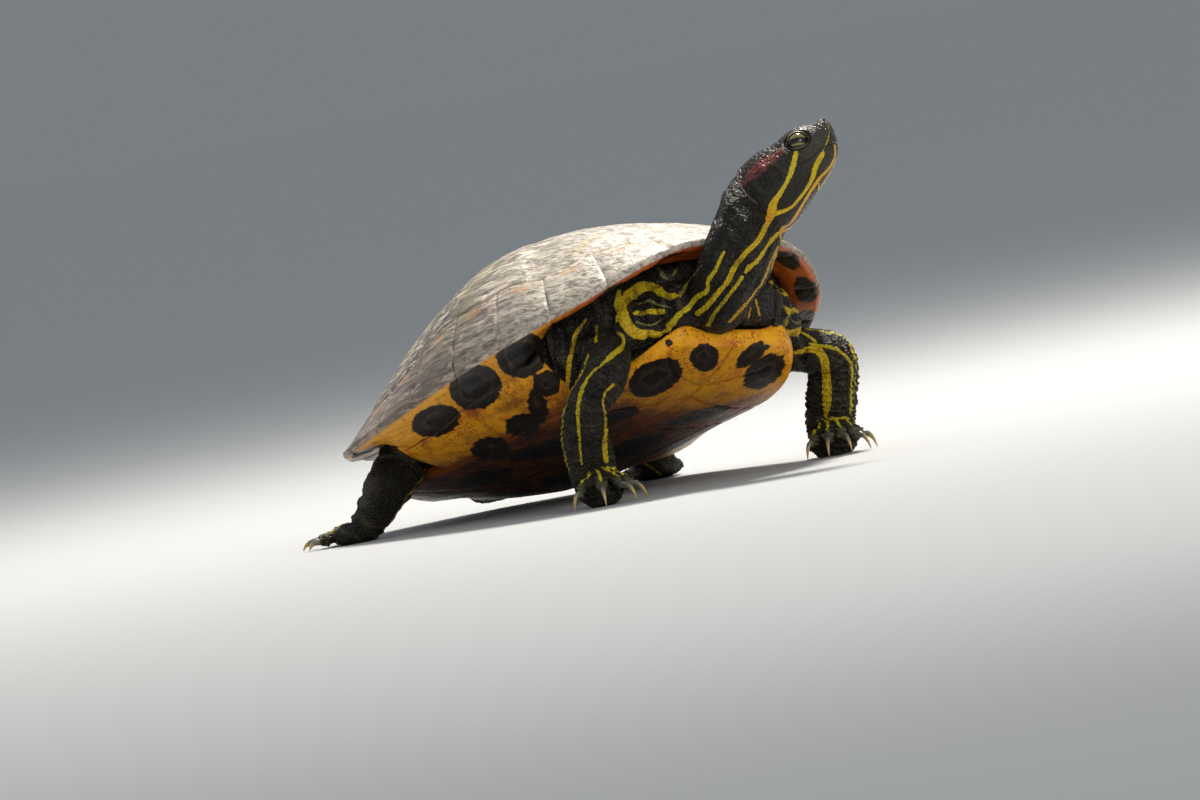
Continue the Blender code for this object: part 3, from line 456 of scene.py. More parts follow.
def dome_at(x, y):
    """The dome's point above a place in plan."""
    angle = np.arctan2(y, x - DOME_CENTRE_X)
    t = np.interp(angle, SAMPLE_ANGLE, SAMPLE_T)
    reach = np.linalg.norm(rim(t)[..., :2] - (DOME_CENTRE_X, 0), axis=-1)
    r = np.clip(np.hypot(x - DOME_CENTRE_X, y) / reach, 0, 1)
    return np.stack([x, y, dome_height(t, r)], axis=-1)


def vertebral_half(x):
    return np.interp(x / CARAPACE_LENGTH, VERTEBRAL_X, VERTEBRAL_HALF) * CARAPACE_LENGTH


def carapace_seams():
    """The seams between scutes, as lines of points in the shell's axes."""
    seams = []
    x = np.linspace(VERTEBRAL_SEAMS[-1], VERTEBRAL_SEAMS[0], 160) * CARAPACE_LENGTH
    for side in (-1, 1):
        seams.append(dome_at(x, side * vertebral_half(x)))
        for k in range(1, 4):
            inner_x = COSTAL_INNER[k] * CARAPACE_LENGTH
            inner = np.array((inner_x, side * vertebral_half(inner_x)))
            outer = shell_point(side * COSTAL_OUTER[k], MARGINAL_START)[:2]
            plan = mix(np.linspace(0, 1, 60)[:, None], inner, outer)
            seams.append(dome_at(plan[:, 0], plan[:, 1]))
    for share in VERTEBRAL_SEAMS[1:-1]:
        half = vertebral_half(share * CARAPACE_LENGTH)
        y = np.linspace(-half, half, 40)
        seams.append(dome_at(np.full_like(y, share * CARAPACE_LENGTH), y))
    ring = shell_point(np.linspace(-LAST_SEAM, LAST_SEAM, 900), MARGINAL_START)
    seams.append(ring)
    for k in range(-LAST_SEAM + 1, LAST_SEAM + 1):
        if k:
            seams.append(shell_point(k, np.linspace(MARGINAL_START, 2.0, 90)))
    return [dense(seam, 0.5) for seam in seams]


def closed_normals(grid, outwards):
    """Unit normals of a grid whose columns join round, on outwards' side at its first row."""
    along = np.gradient(grid, axis=0)
    across = np.roll(grid, -1, axis=1) - np.roll(grid, 1, axis=1)
    normals = unit(np.cross(along, across))
    return normals * np.sign((normals[0] * outwards).sum())


def open_normals(grid, outwards):
    """Unit normals of an open grid, on the side that outwards points to."""
    normals = unit(np.cross(np.gradient(grid, axis=0), np.gradient(grid, axis=1)))
    return normals * np.sign((normals * outwards).sum())


def plate_relief(points, seam):
    """How far the horn stands over its bone: grooves at the seams, growth rings and streaks."""
    groove = PLATE_RISE * np.exp(-((seam / CARAPACE_GROOVE) ** 2))
    crown = 0.30 * (1 - np.exp(-seam / 2.5))
    shift = 0.9 * noise(points, 7.0, 3)
    rings = 0.045 * np.sin((seam + shift) * 2 * math.pi / GROWTH_RING) * np.exp(-seam / 7)
    streaks = long_noise(points, (7.0, 1.3, 1.3), 5)
    folds = long_noise(points, (11.0, 2.6, 2.6), 6)
    pits = np.minimum(long_noise(points, (3.0, 1.0, 1.0), 7), 0)
    return PLATE_RISE - groove + crown + rings + 0.10 * streaks + 0.12 * folds + 0.10 * pits


def lip_share(t):
    """The lip's inner edge, as a share of the rim's distance from the dome's centre."""
    reach = np.linalg.norm(rim(t)[:, :2] - (DOME_CENTRE_X, 0), axis=-1)
    return 1 - mix(bridge_share(t), LIP_WIDTH_OPEN, LIP_WIDTH_BRIDGE) / reach


def cavity_ring(t, share):
    """A ring of the shell's inner wall."""
    r = lip_share(t) * share
    z = dome_height(t, r) - SHELL_WALL / np.clip(1.25 - r, 0.35, 1.0)
    plan = (rim(t)[:, :2] - (DOME_CENTRE_X, 0)) * r[:, None] + (DOME_CENTRE_X, 0)
    return np.concatenate([plan, z[:, None]], axis=-1)


CARAPACE_COLUMNS = 26 * 30
DOME_ROWS = 180
LIP_ROWS = 30
EDGE_NOTCH = 0.35
REAR_NOTCH = 1.1
NOTCH_WIDTH = 1.6
CAVITY_SHARES = (0.97, 0.80, 0.45)
# The place of the seam between costals and marginals in the list of seams
COSTAL_RING = 2 * (1 + 3) + 4


def build_carapace():
    t = np.arange(CARAPACE_COLUMNS) * (2 * LAST_SEAM / CARAPACE_COLUMNS) - LAST_SEAM
    s = np.linspace(0, 1, DOME_ROWS)[1:]
    q = np.concatenate([s * (1.35 - 0.35 * s), 1 + np.linspace(0, 1, LIP_ROWS)[1:] ** 2])
    grid = shell_point(t[None, :], q[:, None])
    width = np.linalg.norm(rim(t + 0.05) - rim(t - 0.05), axis=-1) / 0.1
    from_seam = np.abs(t - np.round(t)) * width
    notch = mix(smooth_step(8, 10.5, np.abs(t)), EDGE_NOTCH, REAR_NOTCH)
    notch = notch * np.exp(-((from_seam / NOTCH_WIDTH) ** 2)) * (np.abs(t) > 0.5)
    spoke = unit(rim(t)[:, :2] - (DOME_CENTRE_X, 0))
    at_edge = bump_at(1.0, 0.07, q) + 0.6 * (q > 1) * bump_at(1.0, 0.3, q)
    grid[..., :2] -= spoke[None] * (notch[None, :, None] * np.clip(at_edge, 0, 1)[:, None, None])
    normals = closed_normals(grid, UP)
    flat = grid.reshape(-1, 3)
    seam, owner = near_lines(wobbled(flat, 9.0, 20, 0.5), carapace_seams())
    relief = plate_relief(flat, seam) * (1 - smooth_step(1.7, 2.0, np.repeat(q, len(t))))
    outer = flat + normals.reshape(-1, 3) * relief[:, None]
    inner = np.concatenate([cavity_ring(t, share) for share in CAVITY_SHARES])
    top = dome_at(np.array([DOME_CENTRE_X]), np.array([0.0])) + (0, 0, PLATE_RISE)
    under = np.array([(DOME_CENTRE_X, 0, DOME_HEIGHT - SHELL_WALL)])
    points = np.concatenate([outer, inner, top, under])
    rows = len(q) + len(CAVITY_SHARES)
    faces = [
        grid_faces(rows, len(t), closed=True),
        fan_faces(0, len(t), len(points) - 2, flip=True),
        fan_faces((rows - 1) * len(t), len(t), len(points) - 1),
    ]
    shell = mesh_object("carapace_plates", to_ground(points), faces)
    spot, streak = carapace_marks(flat)
    set_attribute(shell, "at", points)
    for name, values, elsewhere in (
        ("seam", seam, FAR),
        ("edge_seam", owner == COSTAL_RING, 0.0),
        ("q", np.repeat(q, len(t)), 2.5),
        ("t", np.tile(t, len(q)), 0.0),
        ("spot", spot, FAR),
        ("streak", streak, FAR),
    ):
        spare = np.full(len(points) - len(flat), elsewhere)
        set_attribute(shell, name, np.concatenate([values, spare]))
    return shell


SPOT_Q = 0.893
SPOT_SPAN = (0.38, 0.62)
SPOT_RADIUS = 1.0
STREAK_SHARES = (0.30, 0.88)


def carapace_marks(points):
    """Distances to the orange spots of the marginals and the faded yellow bars of the costals."""
    spots, bars = [], []
    for side in (-1, 1):
        for k in range(2, 12):
            spots.append(dense(shell_point(side * (k + np.linspace(*SPOT_SPAN, 9)), SPOT_Q), 0.5))
        for k in range(4):
            inner_x = (COSTAL_INNER[k] + COSTAL_INNER[k + 1]) / 2 * CARAPACE_LENGTH
            inner = np.array((inner_x, side * vertebral_half(inner_x)))
            outer = shell_point(side * (COSTAL_OUTER[k] + COSTAL_OUTER[k + 1]) / 2, MARGINAL_START)[:2]
            plan = mix(np.linspace(*STREAK_SHARES, 40)[:, None], inner, outer)
            bars.append(dense(dome_at(plan[:, 0], plan[:, 1]), 0.5))
    spot = near_lines(points, spots)[0] - SPOT_RADIUS
    return spot, near_lines(wobbled(points, 6.0, 31, 1.2), bars)[0]


# The plastron

PLASTRON_REAR = -90.0
PLASTRON_FRONT = 86.0
TAIL_NOTCH = 5.0


def plastron_half(x):
    return spline(PLASTRON_X, PLASTRON_HALF, x)


def plastron_z(x):
    lobe = np.clip(np.asarray(x, float) - LOBE_START, 0, None)
    rear = np.clip(REAR_LOBE_START - np.asarray(x, float), 0, None)
    rise = LOBE_RISE * lobe**2 / LOBE_START + REAR_LOBE_RISE * (rear / LOBE_START) ** 2
    return rise - PLASTRON_DEPTH


def plastron_point(x, share):
    """The plastron's underside at x, share from -1 to 1 across it, with the notch at the tail."""
    notch = TAIL_NOTCH * np.clip(1 - np.abs(share) * 1.6, 0, 1) * smooth_step(-74, PLASTRON_REAR, x)
    edge_lift = 1.2 * np.abs(share) ** 6
    return np.stack([x + notch, plastron_half(x) * share, plastron_z(x) + edge_lift], axis=-1)


PLASTRON_ROWS = 250
PLASTRON_COLUMNS = 171
PLASTRON_EDGE = 2.6
LIP_BUMP = 1.8
BRIDGE_START = 37.0
BRIDGE_LEAD = 11.0
BRIDGE_SEAM_SHARES = (0.22, 0.97)
SEAM_BOW = 2.2
BELLY_GROOVE = 0.32


def plastron_seams():
    x = np.linspace(-88, PLASTRON_FRONT, 200)
    seams = [plastron_point(x, 0 * x)]
    share = np.linspace(0, 1.0, 60)
    for side in (-1, 1):
        for front, rear in zip(PLASTRON_SEAMS_MIDLINE[1:-1], PLASTRON_SEAMS_EDGE[1:-1]):
            bow = SEAM_BOW * np.sin(math.pi * share)
            seams.append(plastron_point(mix(share, front, rear) - bow, side * share))
        x = np.linspace(BRIDGE_REAR, BRIDGE_FRONT, 120)
        for height in BRIDGE_SEAM_SHARES:
            seams.append(bridge_point(side, x, np.full_like(x, height)))
        up = np.linspace(BRIDGE_SEAM_SHARES[0], 1.0, 40)
        seams.append(bridge_point(side, np.full_like(up, 2.0) + 4 * up, up))
    return [dense(seam, 0.5) for seam in seams]


def bridge_point(side, x, share):
    """The bridge's outer face: share 0 lies on the belly, and 1 at the marginals' lower edge."""
    left = SAMPLE_T[len(SAMPLE_T) // 2 :]
    t = np.interp(-x, -rim(left)[:, 0], left)
    lip = shell_point(side * t, 2.0)
    start = plastron_point(x, side * BRIDGE_START / plastron_half(x))
    start[..., 2] -= 0.05
    lead = start + np.array((0, side * BRIDGE_LEAD, 0.5))
    tail = lip - unit(lip - lead) * 7.0 - np.array((0, 0, 1.4))
    u = np.asarray(share)[..., None]
    low = (1 - u) ** 3 * start + 3 * u * (1 - u) ** 2 * lead
    return low + 3 * u * u * (1 - u) * tail + u**3 * (lip + (0, 0, 0.6))


def belly_relief(points, seam):
    groove = PLATE_RISE * np.exp(-((seam / BELLY_GROOVE) ** 2))
    crown = 0.12 * (1 - np.exp(-seam / 2))
    return PLATE_RISE - groove + crown + 0.05 * noise(points, 3.0, 8) + 0.10 * noise(points, 9.0, 9)


def rounded(share):
    """A quarter circle's rise from 0 to 1."""
    return np.sqrt(np.clip(1 - (1 - np.clip(share, 0, 1)) ** 2, 0, 1))


def plastron_sheet(seams):
    """The flat plates as a closed sheet: its points, faces and distances to the seams."""
    s = np.linspace(0, 1, PLASTRON_ROWS)
    x = mix(s + np.sin(s * 2 * math.pi) * -0.11, PLASTRON_REAR, PLASTRON_FRONT)
    turn = math.pi / 2 * 0.9
    share = np.sin(np.linspace(-1, 1, PLASTRON_COLUMNS) * turn) / math.sin(turn)
    x, share = np.meshgrid(x, share, indexing="ij")
    under = plastron_point(x, share)
    thickness = PLASTRON_THICKNESS + 1.6 * smooth_step(70, PLASTRON_FRONT, x)
    thickness = thickness + LIP_BUMP * bump_at(20.5, 3.6, np.abs(under[..., 1])) * smooth_step(76, 85, x)
    from_side = plastron_half(x) * (1 - np.abs(share))
    from_end = np.minimum(PLASTRON_FRONT - x, x - PLASTRON_REAR)
    round_off = rounded(np.minimum(from_side, from_end) / PLASTRON_EDGE)
    lower, upper = under.copy(), under.copy()
    lower[..., 2] += thickness * 0.5 - thickness * 0.5 * round_off
    upper[..., 2] += thickness * 0.5 + thickness * 0.5 * round_off
    normals = open_normals(lower, -UP)
    flat = lower.reshape(-1, 3)
    seam = near_lines(wobbled(flat, 8.0, 40, 0.45), seams)[0]
    relief = belly_relief(flat, seam) * round_off.ravel()
    lower_points = flat + normals.reshape(-1, 3) * relief[:, None]
    faces = grid_faces(*x.shape)
    points = np.concatenate([lower_points, upper.reshape(-1, 3)])
    return points, [faces, faces[:, ::-1] + x.size], np.concatenate([seam, np.full(x.size, FAR)])


BRIDGE_ROWS = 150
BRIDGE_COLUMNS = 60
BRIDGE_THICKNESS = 3.2
BRIDGE_BOW = 3.5


def bridge_sheet(side, seams):
    """One bridge as a closed sheet: its points, faces and distances to the seams."""
    s = np.linspace(0, 1, BRIDGE_ROWS)
    x = mix(s + np.sin(s * 2 * math.pi) * -0.08, BRIDGE_REAR - 1.0, BRIDGE_FRONT + 1.0)
    x, share = np.meshgrid(x, np.linspace(0, 1, BRIDGE_COLUMNS), indexing="ij")
    face = bridge_point(side, x, share)
    middle = (BRIDGE_REAR + BRIDGE_FRONT) / 2
    bow = np.clip(np.abs(x - middle) - (BRIDGE_FRONT - middle) + 8.0, 0, None) / 9.0
    face[..., 0] += np.sign(x - middle) * BRIDGE_BOW * bow * np.clip(share, 0, 1) ** 1.5
    normals = open_normals(face, np.array((0, side * 0.6, -0.8))).reshape(-1, 3)
    flat = face.reshape(-1, 3)
    seam = near_lines(wobbled(flat, 8.0, 40, 0.45), seams)[0]
    end = np.minimum(np.arange(BRIDGE_ROWS), np.arange(BRIDGE_ROWS)[::-1]) / 9.0
    round_off = np.repeat(rounded(end), BRIDGE_COLUMNS)
    fade = smooth_step(0.0, 0.22, share.ravel())
    out = belly_relief(flat, seam) * round_off + (round_off - 1) * BRIDGE_THICKNESS * 0.5
    deep = (round_off + 1) * BRIDGE_THICKNESS * 0.5 * (0.1 + 0.9 * fade)
    points = np.concatenate([flat + normals * out[:, None], flat - normals * deep[:, None]])
    faces = grid_faces(*x.shape)
    strips = edge_strips(*x.shape)
    return points, [faces, faces[:, ::-1] + x.size, *strips], np.concatenate([seam, seam])


def edge_strips(rows, columns):
    """Faces that close the border between two equal grids laid one after the other."""
    number = np.arange(rows * columns).reshape(rows, columns)
    here = np.concatenate([number[0], number[1:, -1], number[-1, -2::-1], number[-2:0:-1, 0]])
    there = np.roll(here, -1)
    return [np.stack([here, here + number.size, there + number.size, there], -1)]


def build_plastron():
    seams = plastron_seams()
    sheets = [plastron_sheet(seams), bridge_sheet(-1, seams), bridge_sheet(1, seams)]
    points, faces = gathered([sheet[:2] for sheet in sheets])
    plastron = mesh_object("plastron_plates", to_ground(points), faces)
    set_attribute(plastron, "at", points)
    aside = np.abs(points[:, 1])
    # A real rusty stain and painted shade in one share: strongest at the rear and middle of the underside,
    # faint on the bridges
    stain = 1 - smooth_step(10, 62, points[:, 0] - aside * 0.35)
    set_attribute(plastron, "stain", stain * (1 - 0.75 * smooth_step(38, 54, aside)))
    set_attribute(plastron, "seam", np.concatenate([sheet[2] for sheet in sheets]))
    return plastron


# Materials


class Paint:
    """A Principled material whose colour is laid on in named steps."""

    def __init__(self, name, **fixed):
        self.material = bpy.data.materials.new(name)
        self.material.use_nodes = True
        self.tree = self.material.node_tree
        self.shader = self.tree.nodes["Principled BSDF"]
        for socket, value in fixed.items():
            self.shader.inputs[socket.replace("_", " ")].default_value = value
        self.at = self.attribute("at", "Vector")
        self.colour = None

    def put(self, socket, value):
        if isinstance(value, bpy.types.NodeSocket):
            self.tree.links.new(value, socket)
        elif isinstance(value, tuple) and len(value) == 3 and socket.type == "RGBA":
            socket.default_value = (*value, 1.0)
        else:
            socket.default_value = value

    def node(self, kind, *values, **settings):
        """A new node with its settings, and with values put to its first sockets."""
        node = self.tree.nodes.new("ShaderNode" + kind)
        for name, setting in settings.items():
            setattr(node, name, setting)
        for socket, value in zip(node.inputs, values):
            self.put(socket, value)
        return node

    def attribute(self, name, output="Fac"):
        return self.node("Attribute", attribute_name=name).outputs[output]

    def axes(self):
        """The three parts of the place on the piece."""
        return self.node("SeparateXYZ", self.at).outputs

    def math(self, operation, *values):
        return self.node("Math", *values, operation=operation).outputs[0]

    def plus(self, a, b):
        return self.math("ADD", a, b)

    def times(self, a, b):
        return self.math("MULTIPLY", a, b)

    def size(self, value):
        return self.math("ABSOLUTE", value)

    def step(self, value, low, high, start=0.0, end=1.0):
        """Eases from start to end as value goes from low to high."""
        node = self.node("MapRange", value, low, high, start, end, interpolation_type="SMOOTHSTEP")
        return node.outputs[0]

    def blend(self, share, first, second, mode="MIX"):
        node = self.node("Mix", data_type="RGBA", blend_type=mode, clamp_factor=True)
        for number, value in ((0, share), (6, first), (7, second)):
            self.put(node.inputs[number], value)
        return node.outputs[2]

    def cover(self, share, colour, mode="MIX"):
        """Lays a colour over what is there."""
        self.colour = self.blend(share, self.colour, colour, mode)

    def texture(self, kind, size, stretch, at, **settings):
        """A texture with lumps about size millimetres wide, longer along the axes that stretch names."""
        scale = tuple(1 / (size * s) for s in stretch)
        place = self.node("VectorMath", at or self.at, scale, operation="MULTIPLY").outputs[0]
        return self.node(kind, place, **settings)

    def noise(self, size, detail=3.0, stretch=(1, 1, 1), rough=0.55, warp=0.0, at=None):
        """Noise from 0 to 1."""
        node = self.texture("TexNoise", size, stretch, at)
        settings = {"Scale": 1.0, "Detail": detail, "Roughness": rough, "Distortion": warp}
        for name, value in settings.items():
            node.inputs[name].default_value = value
        return node.outputs["Fac"]

    def cells(self, size, feature="DISTANCE_TO_EDGE", stretch=(1, 1, 1), output="Distance", at=None):
        node = self.texture("TexVoronoi", size, stretch, at, feature=feature)
        node.inputs["Scale"].default_value = 1.0
        return node.outputs[output]

    def uneven(self, value, size, detail, amount, middle=0.5, rough=0.55):
        """A value, or the attribute of that name, made uneven by noise taken from its middle."""
        value = self.attribute(value) if isinstance(value, str) else value
        lumps = self.plus(self.noise(size, detail, rough=rough), -middle)
        return self.plus(value, self.times(lumps, amount))

    def bump(self, height, strength=1.0, distance=0.2):
        """Relief whose height of 1 stands distance millimetres high."""
        node = self.node("Bump")
        for name, value in (("Strength", strength), ("Distance", distance * MM), ("Height", height)):
            self.put(node.inputs[name], value)
        self.put(self.shader.inputs["Normal"], node.outputs[0])

    def finish(self, roughness):
        self.put(self.shader.inputs["Base Color"], self.colour)
        self.put(self.shader.inputs["Roughness"], roughness)
        return self.material


# Colours of the horn, in the order in which they are laid
HORN_BROWN = (0.120, 0.088, 0.060)
HORN_TAN = (0.205, 0.158, 0.110)
HORN_STREAK = (0.56, 0.465, 0.345)
HORN_UMBER = (0.046, 0.031, 0.020)
HORN_SCUFF = (0.66, 0.57, 0.45)
HORN_GRAIN = (0.036, 0.025, 0.017)
# Painted glare: near-white laid over the front of the dome
HORN_GLARE = (0.60, 0.54, 0.455)
HORN_OLIVE = (0.17, 0.160, 0.075)
HORN_PURPLE = (0.235, 0.160, 0.135)
HORN_PLUM = (0.110, 0.072, 0.060)
FAR_SIDE_SHADE = (0.40, 0.37, 0.27)
BAR_YELLOW = (0.50, 0.40, 0.15)
SPOT_ORANGE = (0.58, 0.27, 0.085)
SEAM_PALE = (0.62, 0.44, 0.27)
SEAM_DARK = (0.014, 0.009, 0.007)
RIM_RED = (0.34, 0.045, 0.008)
UNDER_OCHRE = (0.58, 0.22, 0.005)
UNDER_YELLOW = (0.72, 0.35, 0.012)
UNDER_SHADED_RED = (0.30, 0.032, 0.004)
UNDER_ORANGE = (0.52, 0.13, 0.007)
UNDER_SPECK = (0.20, 0.030, 0.008)
BLOTCH_BLACK = (0.005, 0.003, 0.002)
BLOTCH_BROWN = (0.014, 0.007, 0.003)
BLOTCH_RING = (0.050, 0.033, 0.013)
BLOTCH_HEART = (0.002, 0.0015, 0.001)
BELLY_OCHRE = (0.62, 0.235, 0.004)
BELLY_YELLOW = (0.80, 0.40, 0.010)
BELLY_ORANGE = (0.56, 0.13, 0.005)
BELLY_RUST_AND_SHADE = (0.150, 0.030, 0.008)
BELLY_SHADE_BLACK = (0.020, 0.008, 0.005)
BELLY_SPECK = (0.20, 0.022, 0.007)
BELLY_RED = (0.30, 0.050, 0.010)
BELLY_SEAM = (0.050, 0.008, 0.004)


def carapace_material():
    paint = Paint("carapace_horn", Specular_IOR_Level=0.42, Coat_Weight=0.08, Coat_Roughness=0.25)
    seam, q = paint.attribute("seam"), paint.attribute("q")
    x, y, _ = paint.axes()
    streaks = paint.noise(2.2, 6, stretch=(9, 1, 1), warp=0.7)
    fine = paint.noise(0.75, 4, stretch=(9, 1, 1))
    scuffs = paint.noise(1.3, 6, stretch=(5, 1, 1), rough=0.65, warp=0.5)
    mottle = paint.noise(3.2, 6, stretch=(2.6, 1, 1), rough=0.64)
    paint.colour = paint.blend(paint.step(paint.noise(34, 3), 0.35, 0.65), HORN_BROWN, HORN_TAN)
    paint.cover(paint.step(streaks, 0.51, 0.59, 0.0, 0.92), HORN_STREAK)
    paint.cover(paint.step(mottle, 0.50, 0.59, 0.0, 0.9), HORN_UMBER)
    paint.cover(paint.step(scuffs, 0.58, 0.68, 0.0, 0.8), HORN_SCUFF)
    paint.cover(paint.step(fine, 0.54, 0.70, 0.0, 0.75), HORN_GRAIN)
    front = paint.uneven(x, 14, 4, 60.0)
    # Painted glare: the scuffed horn turns near-white towards the front of the dome
    front_glare = paint.times(paint.step(front, -15, 75), paint.step(scuffs, 0.40, 0.57, 0.2, 0.85))
    paint.cover(front_glare, HORN_GLARE)
    paint.cover(paint.step(paint.noise(22, 3), 0.50, 0.68, 0.0, 0.4), HORN_OLIVE)
    purple = paint.blend(paint.step(fine, 0.4, 0.65), HORN_PURPLE, HORN_PLUM)
    marginal = paint.times(paint.step(q, MARGINAL_START, 0.90), paint.step(front, -20, 45, 0.6, 0.12))
    paint.cover(marginal, purple)
    # Painted shade: the left side, beyond the ridge, is multiplied darker
    paint.cover(paint.step(paint.uneven(y, 18, 4, 50.0), -5, 55, 0.0, 0.85), FAR_SIDE_SHADE, "MULTIPLY")
    paint.cover(paint.step(paint.uneven("streak", 3, 3, 2.4, 0), 1.6, 3.0, 0.5, 0.0), BAR_YELLOW)
    paint.cover(paint.step(paint.uneven("spot", 2, 4, 2.8, 0), 0.9, 2.8, 0.45, 0.0), SPOT_ORANGE)
    pale = paint.times(paint.attribute("edge_seam"), paint.step(seam, 0.35, 0.9, 0.7, 0.0))
    paint.cover(paint.times(pale, paint.step(paint.noise(9, 3), 0.36, 0.55)), SEAM_PALE)
    paint.cover(paint.step(paint.uneven(seam, 1.1, 3, 0.35, 0), 0.24, 0.66, 0.95, 0.0), SEAM_DARK)
    edge = paint.uneven(q, 2.5, 4, 0.02)
    ahead = paint.step(paint.size(paint.attribute("t")), 4.2, 3.0)
    paint.cover(paint.times(paint.times(paint.step(edge, 1.03, 1.055), ahead), 0.85), RIM_RED)
    paint.cover(paint.step(edge, 1.05, 1.08), under_rim_colour(paint))
    height = paint.plus(paint.times(streaks, 0.8), paint.times(fine, 0.5))
    height = paint.plus(height, paint.times(mottle, 0.5))
    paint.bump(paint.plus(height, paint.times(paint.noise(0.35, 3), 0.12)), 1.0, 0.42)
    dull = paint.step(seam, 0.3, 1.2, 0.3, 0.0)
    return paint.finish(paint.plus(paint.step(streaks, 0.35, 0.65, 0.28, 0.48), dull))


def under_rim_colour(paint):
    """Yellow below the rim with the dark ringed blotches of the marginals, orange-red at its front, made
    deep red there as painted shade under the front rim.
    """
    yellow = paint.blend(paint.noise(14, 3), UNDER_OCHRE, UNDER_YELLOW)
    front = paint.step(paint.size(paint.attribute("t")), 4.6, 3.2)
    # Painted shade: the front's own orange-red is darkened towards deep red under the front rim
    yellow = paint.blend(front, yellow, paint.blend(paint.noise(9, 4), UNDER_SHADED_RED, UNDER_ORANGE))
    speck = paint.step(paint.noise(1.5, 6, rough=0.66), 0.53, 0.68, 0.0, 0.75)
    yellow = paint.blend(speck, yellow, UNDER_SPECK)
    edge = paint.uneven("blotch", 2.2, 4, 1.6, 0)
    return paint.blend(paint.step(edge, 0.55, 1.05, 1.0, 0.0), yellow, blotch_colour(paint))


def blotch_colour(paint):
    """Dark brown with blacker rounds and thin olive rings, as the plates' blotches grow."""
    ring = paint.uneven("blotch", 6, 4, 6.0)
    dark = paint.blend(paint.noise(2.5, 5), BLOTCH_BLACK, BLOTCH_BROWN)
    line = paint.step(paint.size(paint.plus(ring, 3.2)), 0.2, 0.9, 1.0, 0.0)
    broken = paint.step(paint.noise(5, 3), 0.40, 0.60, 0.15, 0.75)
    dark = paint.blend(paint.times(line, broken), dark, BLOTCH_RING)
    return paint.blend(paint.step(ring, -3.6, -4.3, 0.0, 0.85), dark, BLOTCH_HEART)


def belly_material():
    paint = Paint("plastron_horn", Specular_IOR_Level=0.17, Coat_Weight=0.03, Coat_Roughness=0.2)
    seam = paint.attribute("seam")
    stain = paint.uneven("stain", 9, 6, 1.7, rough=0.62)
    paint.colour = paint.blend(paint.noise(16, 4), BELLY_OCHRE, BELLY_YELLOW)
    paint.cover(paint.step(paint.noise(6, 5), 0.48, 0.68, 0.0, 0.6), BELLY_ORANGE)
    # Painted shade with the real stain: rust, then near-black, over the rear and middle of the underside
    paint.cover(paint.step(stain, 0.10, 0.62, 0.0, 0.85), BELLY_RUST_AND_SHADE)
    paint.cover(paint.step(stain, 0.62, 1.15, 0.0, 0.93), BELLY_SHADE_BLACK)
    speck = paint.step(paint.noise(1.1, 6, rough=0.7), 0.51, 0.60, 0.0, 0.9)
    paint.cover(paint.times(speck, paint.step(paint.noise(11, 3), 0.38, 0.56)), BELLY_SPECK)
    paint.cover(paint.step(paint.uneven(seam, 3, 5, 6.0, 0), 2.2, 5.0, 0.55, 0.0), BELLY_RED)
    edge = paint.uneven("blotch", 2.6, 5, 3.2)
    paint.cover(paint.step(edge, -0.25, 0.25, 1.0, 0.0), blotch_colour(paint))
    paint.cover(paint.step(paint.uneven(seam, 1.2, 3, 0.4, 0), 0.25, 0.62, 0.95, 0.0), BELLY_SEAM)
    wear = paint.noise(0.9, 4)
    paint.bump(paint.plus(wear, paint.times(paint.noise(5, 3), 1.5)), 0.6, 0.14)
    return paint.finish(paint.step(wear, 0.3, 0.7, 0.24, 0.42))


# The floor, the lights and the camera


FLOOR_REACH = 12.0
FLOOR_GREY = (0.36, 0.36, 0.355)
FLOOR_ROUGHNESS = 0.85
WORLD_LOW = (0.193, 0.209, 0.223)
WORLD_HIGH = (0.46, 0.50, 0.54)
WORLD_RISE = 0.22
LAMP_AIM = 0.06
CAMERA_REACH = 100.0
# Each lamp's name, place, size, power and colour
LAMPS = (
    ("key", (-0.25, 0.55, 1.25), 0.30, 40.0, (1.0, 0.96, 0.90)),
    ("fill", (1.4, -0.3, 0.8), 0.6, 7.0, (1.0, 0.97, 0.92)),
    ("low", (4.9, -4.4, 1.6), 2.0, 34.0, (1.0, 0.96, 0.9)),
)


def add_floor():
    mesh = bpy.data.meshes.new("floor")
    corners = [(x * FLOOR_REACH, y * FLOOR_REACH, 0) for x, y in ((-1, -1), (1, -1), (1, 1), (-1, 1))]
    mesh.from_pydata(corners, [], [(0, 1, 2, 3)])
    floor = bpy.data.objects.new("floor", mesh)
    bpy.context.scene.collection.objects.link(floor)
    material = bpy.data.materials.new("floor_paint")
    material.use_nodes = True
    shader = material.node_tree.nodes["Principled BSDF"]
    shader.inputs["Base Color"].default_value = (*FLOOR_GREY, 1.0)
    shader.inputs["Roughness"].default_value = FLOOR_ROUGHNESS
    mesh.materials.append(material)


def add_world():
    """A sky that is darker at the horizon, where it meets the far floor's colour."""
    world = bpy.data.worlds.new("studio")
    world.use_nodes = True
    nodes, links = world.node_tree.nodes, world.node_tree.links
    split = nodes.new("ShaderNodeSeparateXYZ")
    height = nodes.new("ShaderNodeMapRange")
    shade = nodes.new("ShaderNodeMix")
    shade.data_type = "RGBA"
    height.inputs["From Max"].default_value = WORLD_RISE
    shade.inputs[6].default_value = (*WORLD_LOW, 1.0)
    shade.inputs[7].default_value = (*WORLD_HIGH, 1.0)
    links.new(nodes.new("ShaderNodeTexCoord").outputs["Generated"], split.inputs[0])
    links.new(split.outputs[2], height.inputs["Value"])
    links.new(height.outputs[0], shade.inputs[0])
    links.new(shade.outputs[2], nodes["Background"].inputs[0])
    bpy.context.scene.world = world
    bpy.context.scene.view_settings.view_transform = "Standard"


def add_lamps():
    for name, place, size, power, colour in LAMPS:
        data = bpy.data.lights.new(name, "AREA")
        data.shape = "DISK"
        data.size = size
        data.energy = power
        data.color = colour
        lamp = bpy.data.objects.new(name, data)
        lamp.location = place
        aim = Vector((0, 0, LAMP_AIM)) - Vector(place)
        lamp.rotation_euler = aim.to_track_quat("-Z", "Y").to_euler()
        bpy.context.scene.collection.objects.link(lamp)


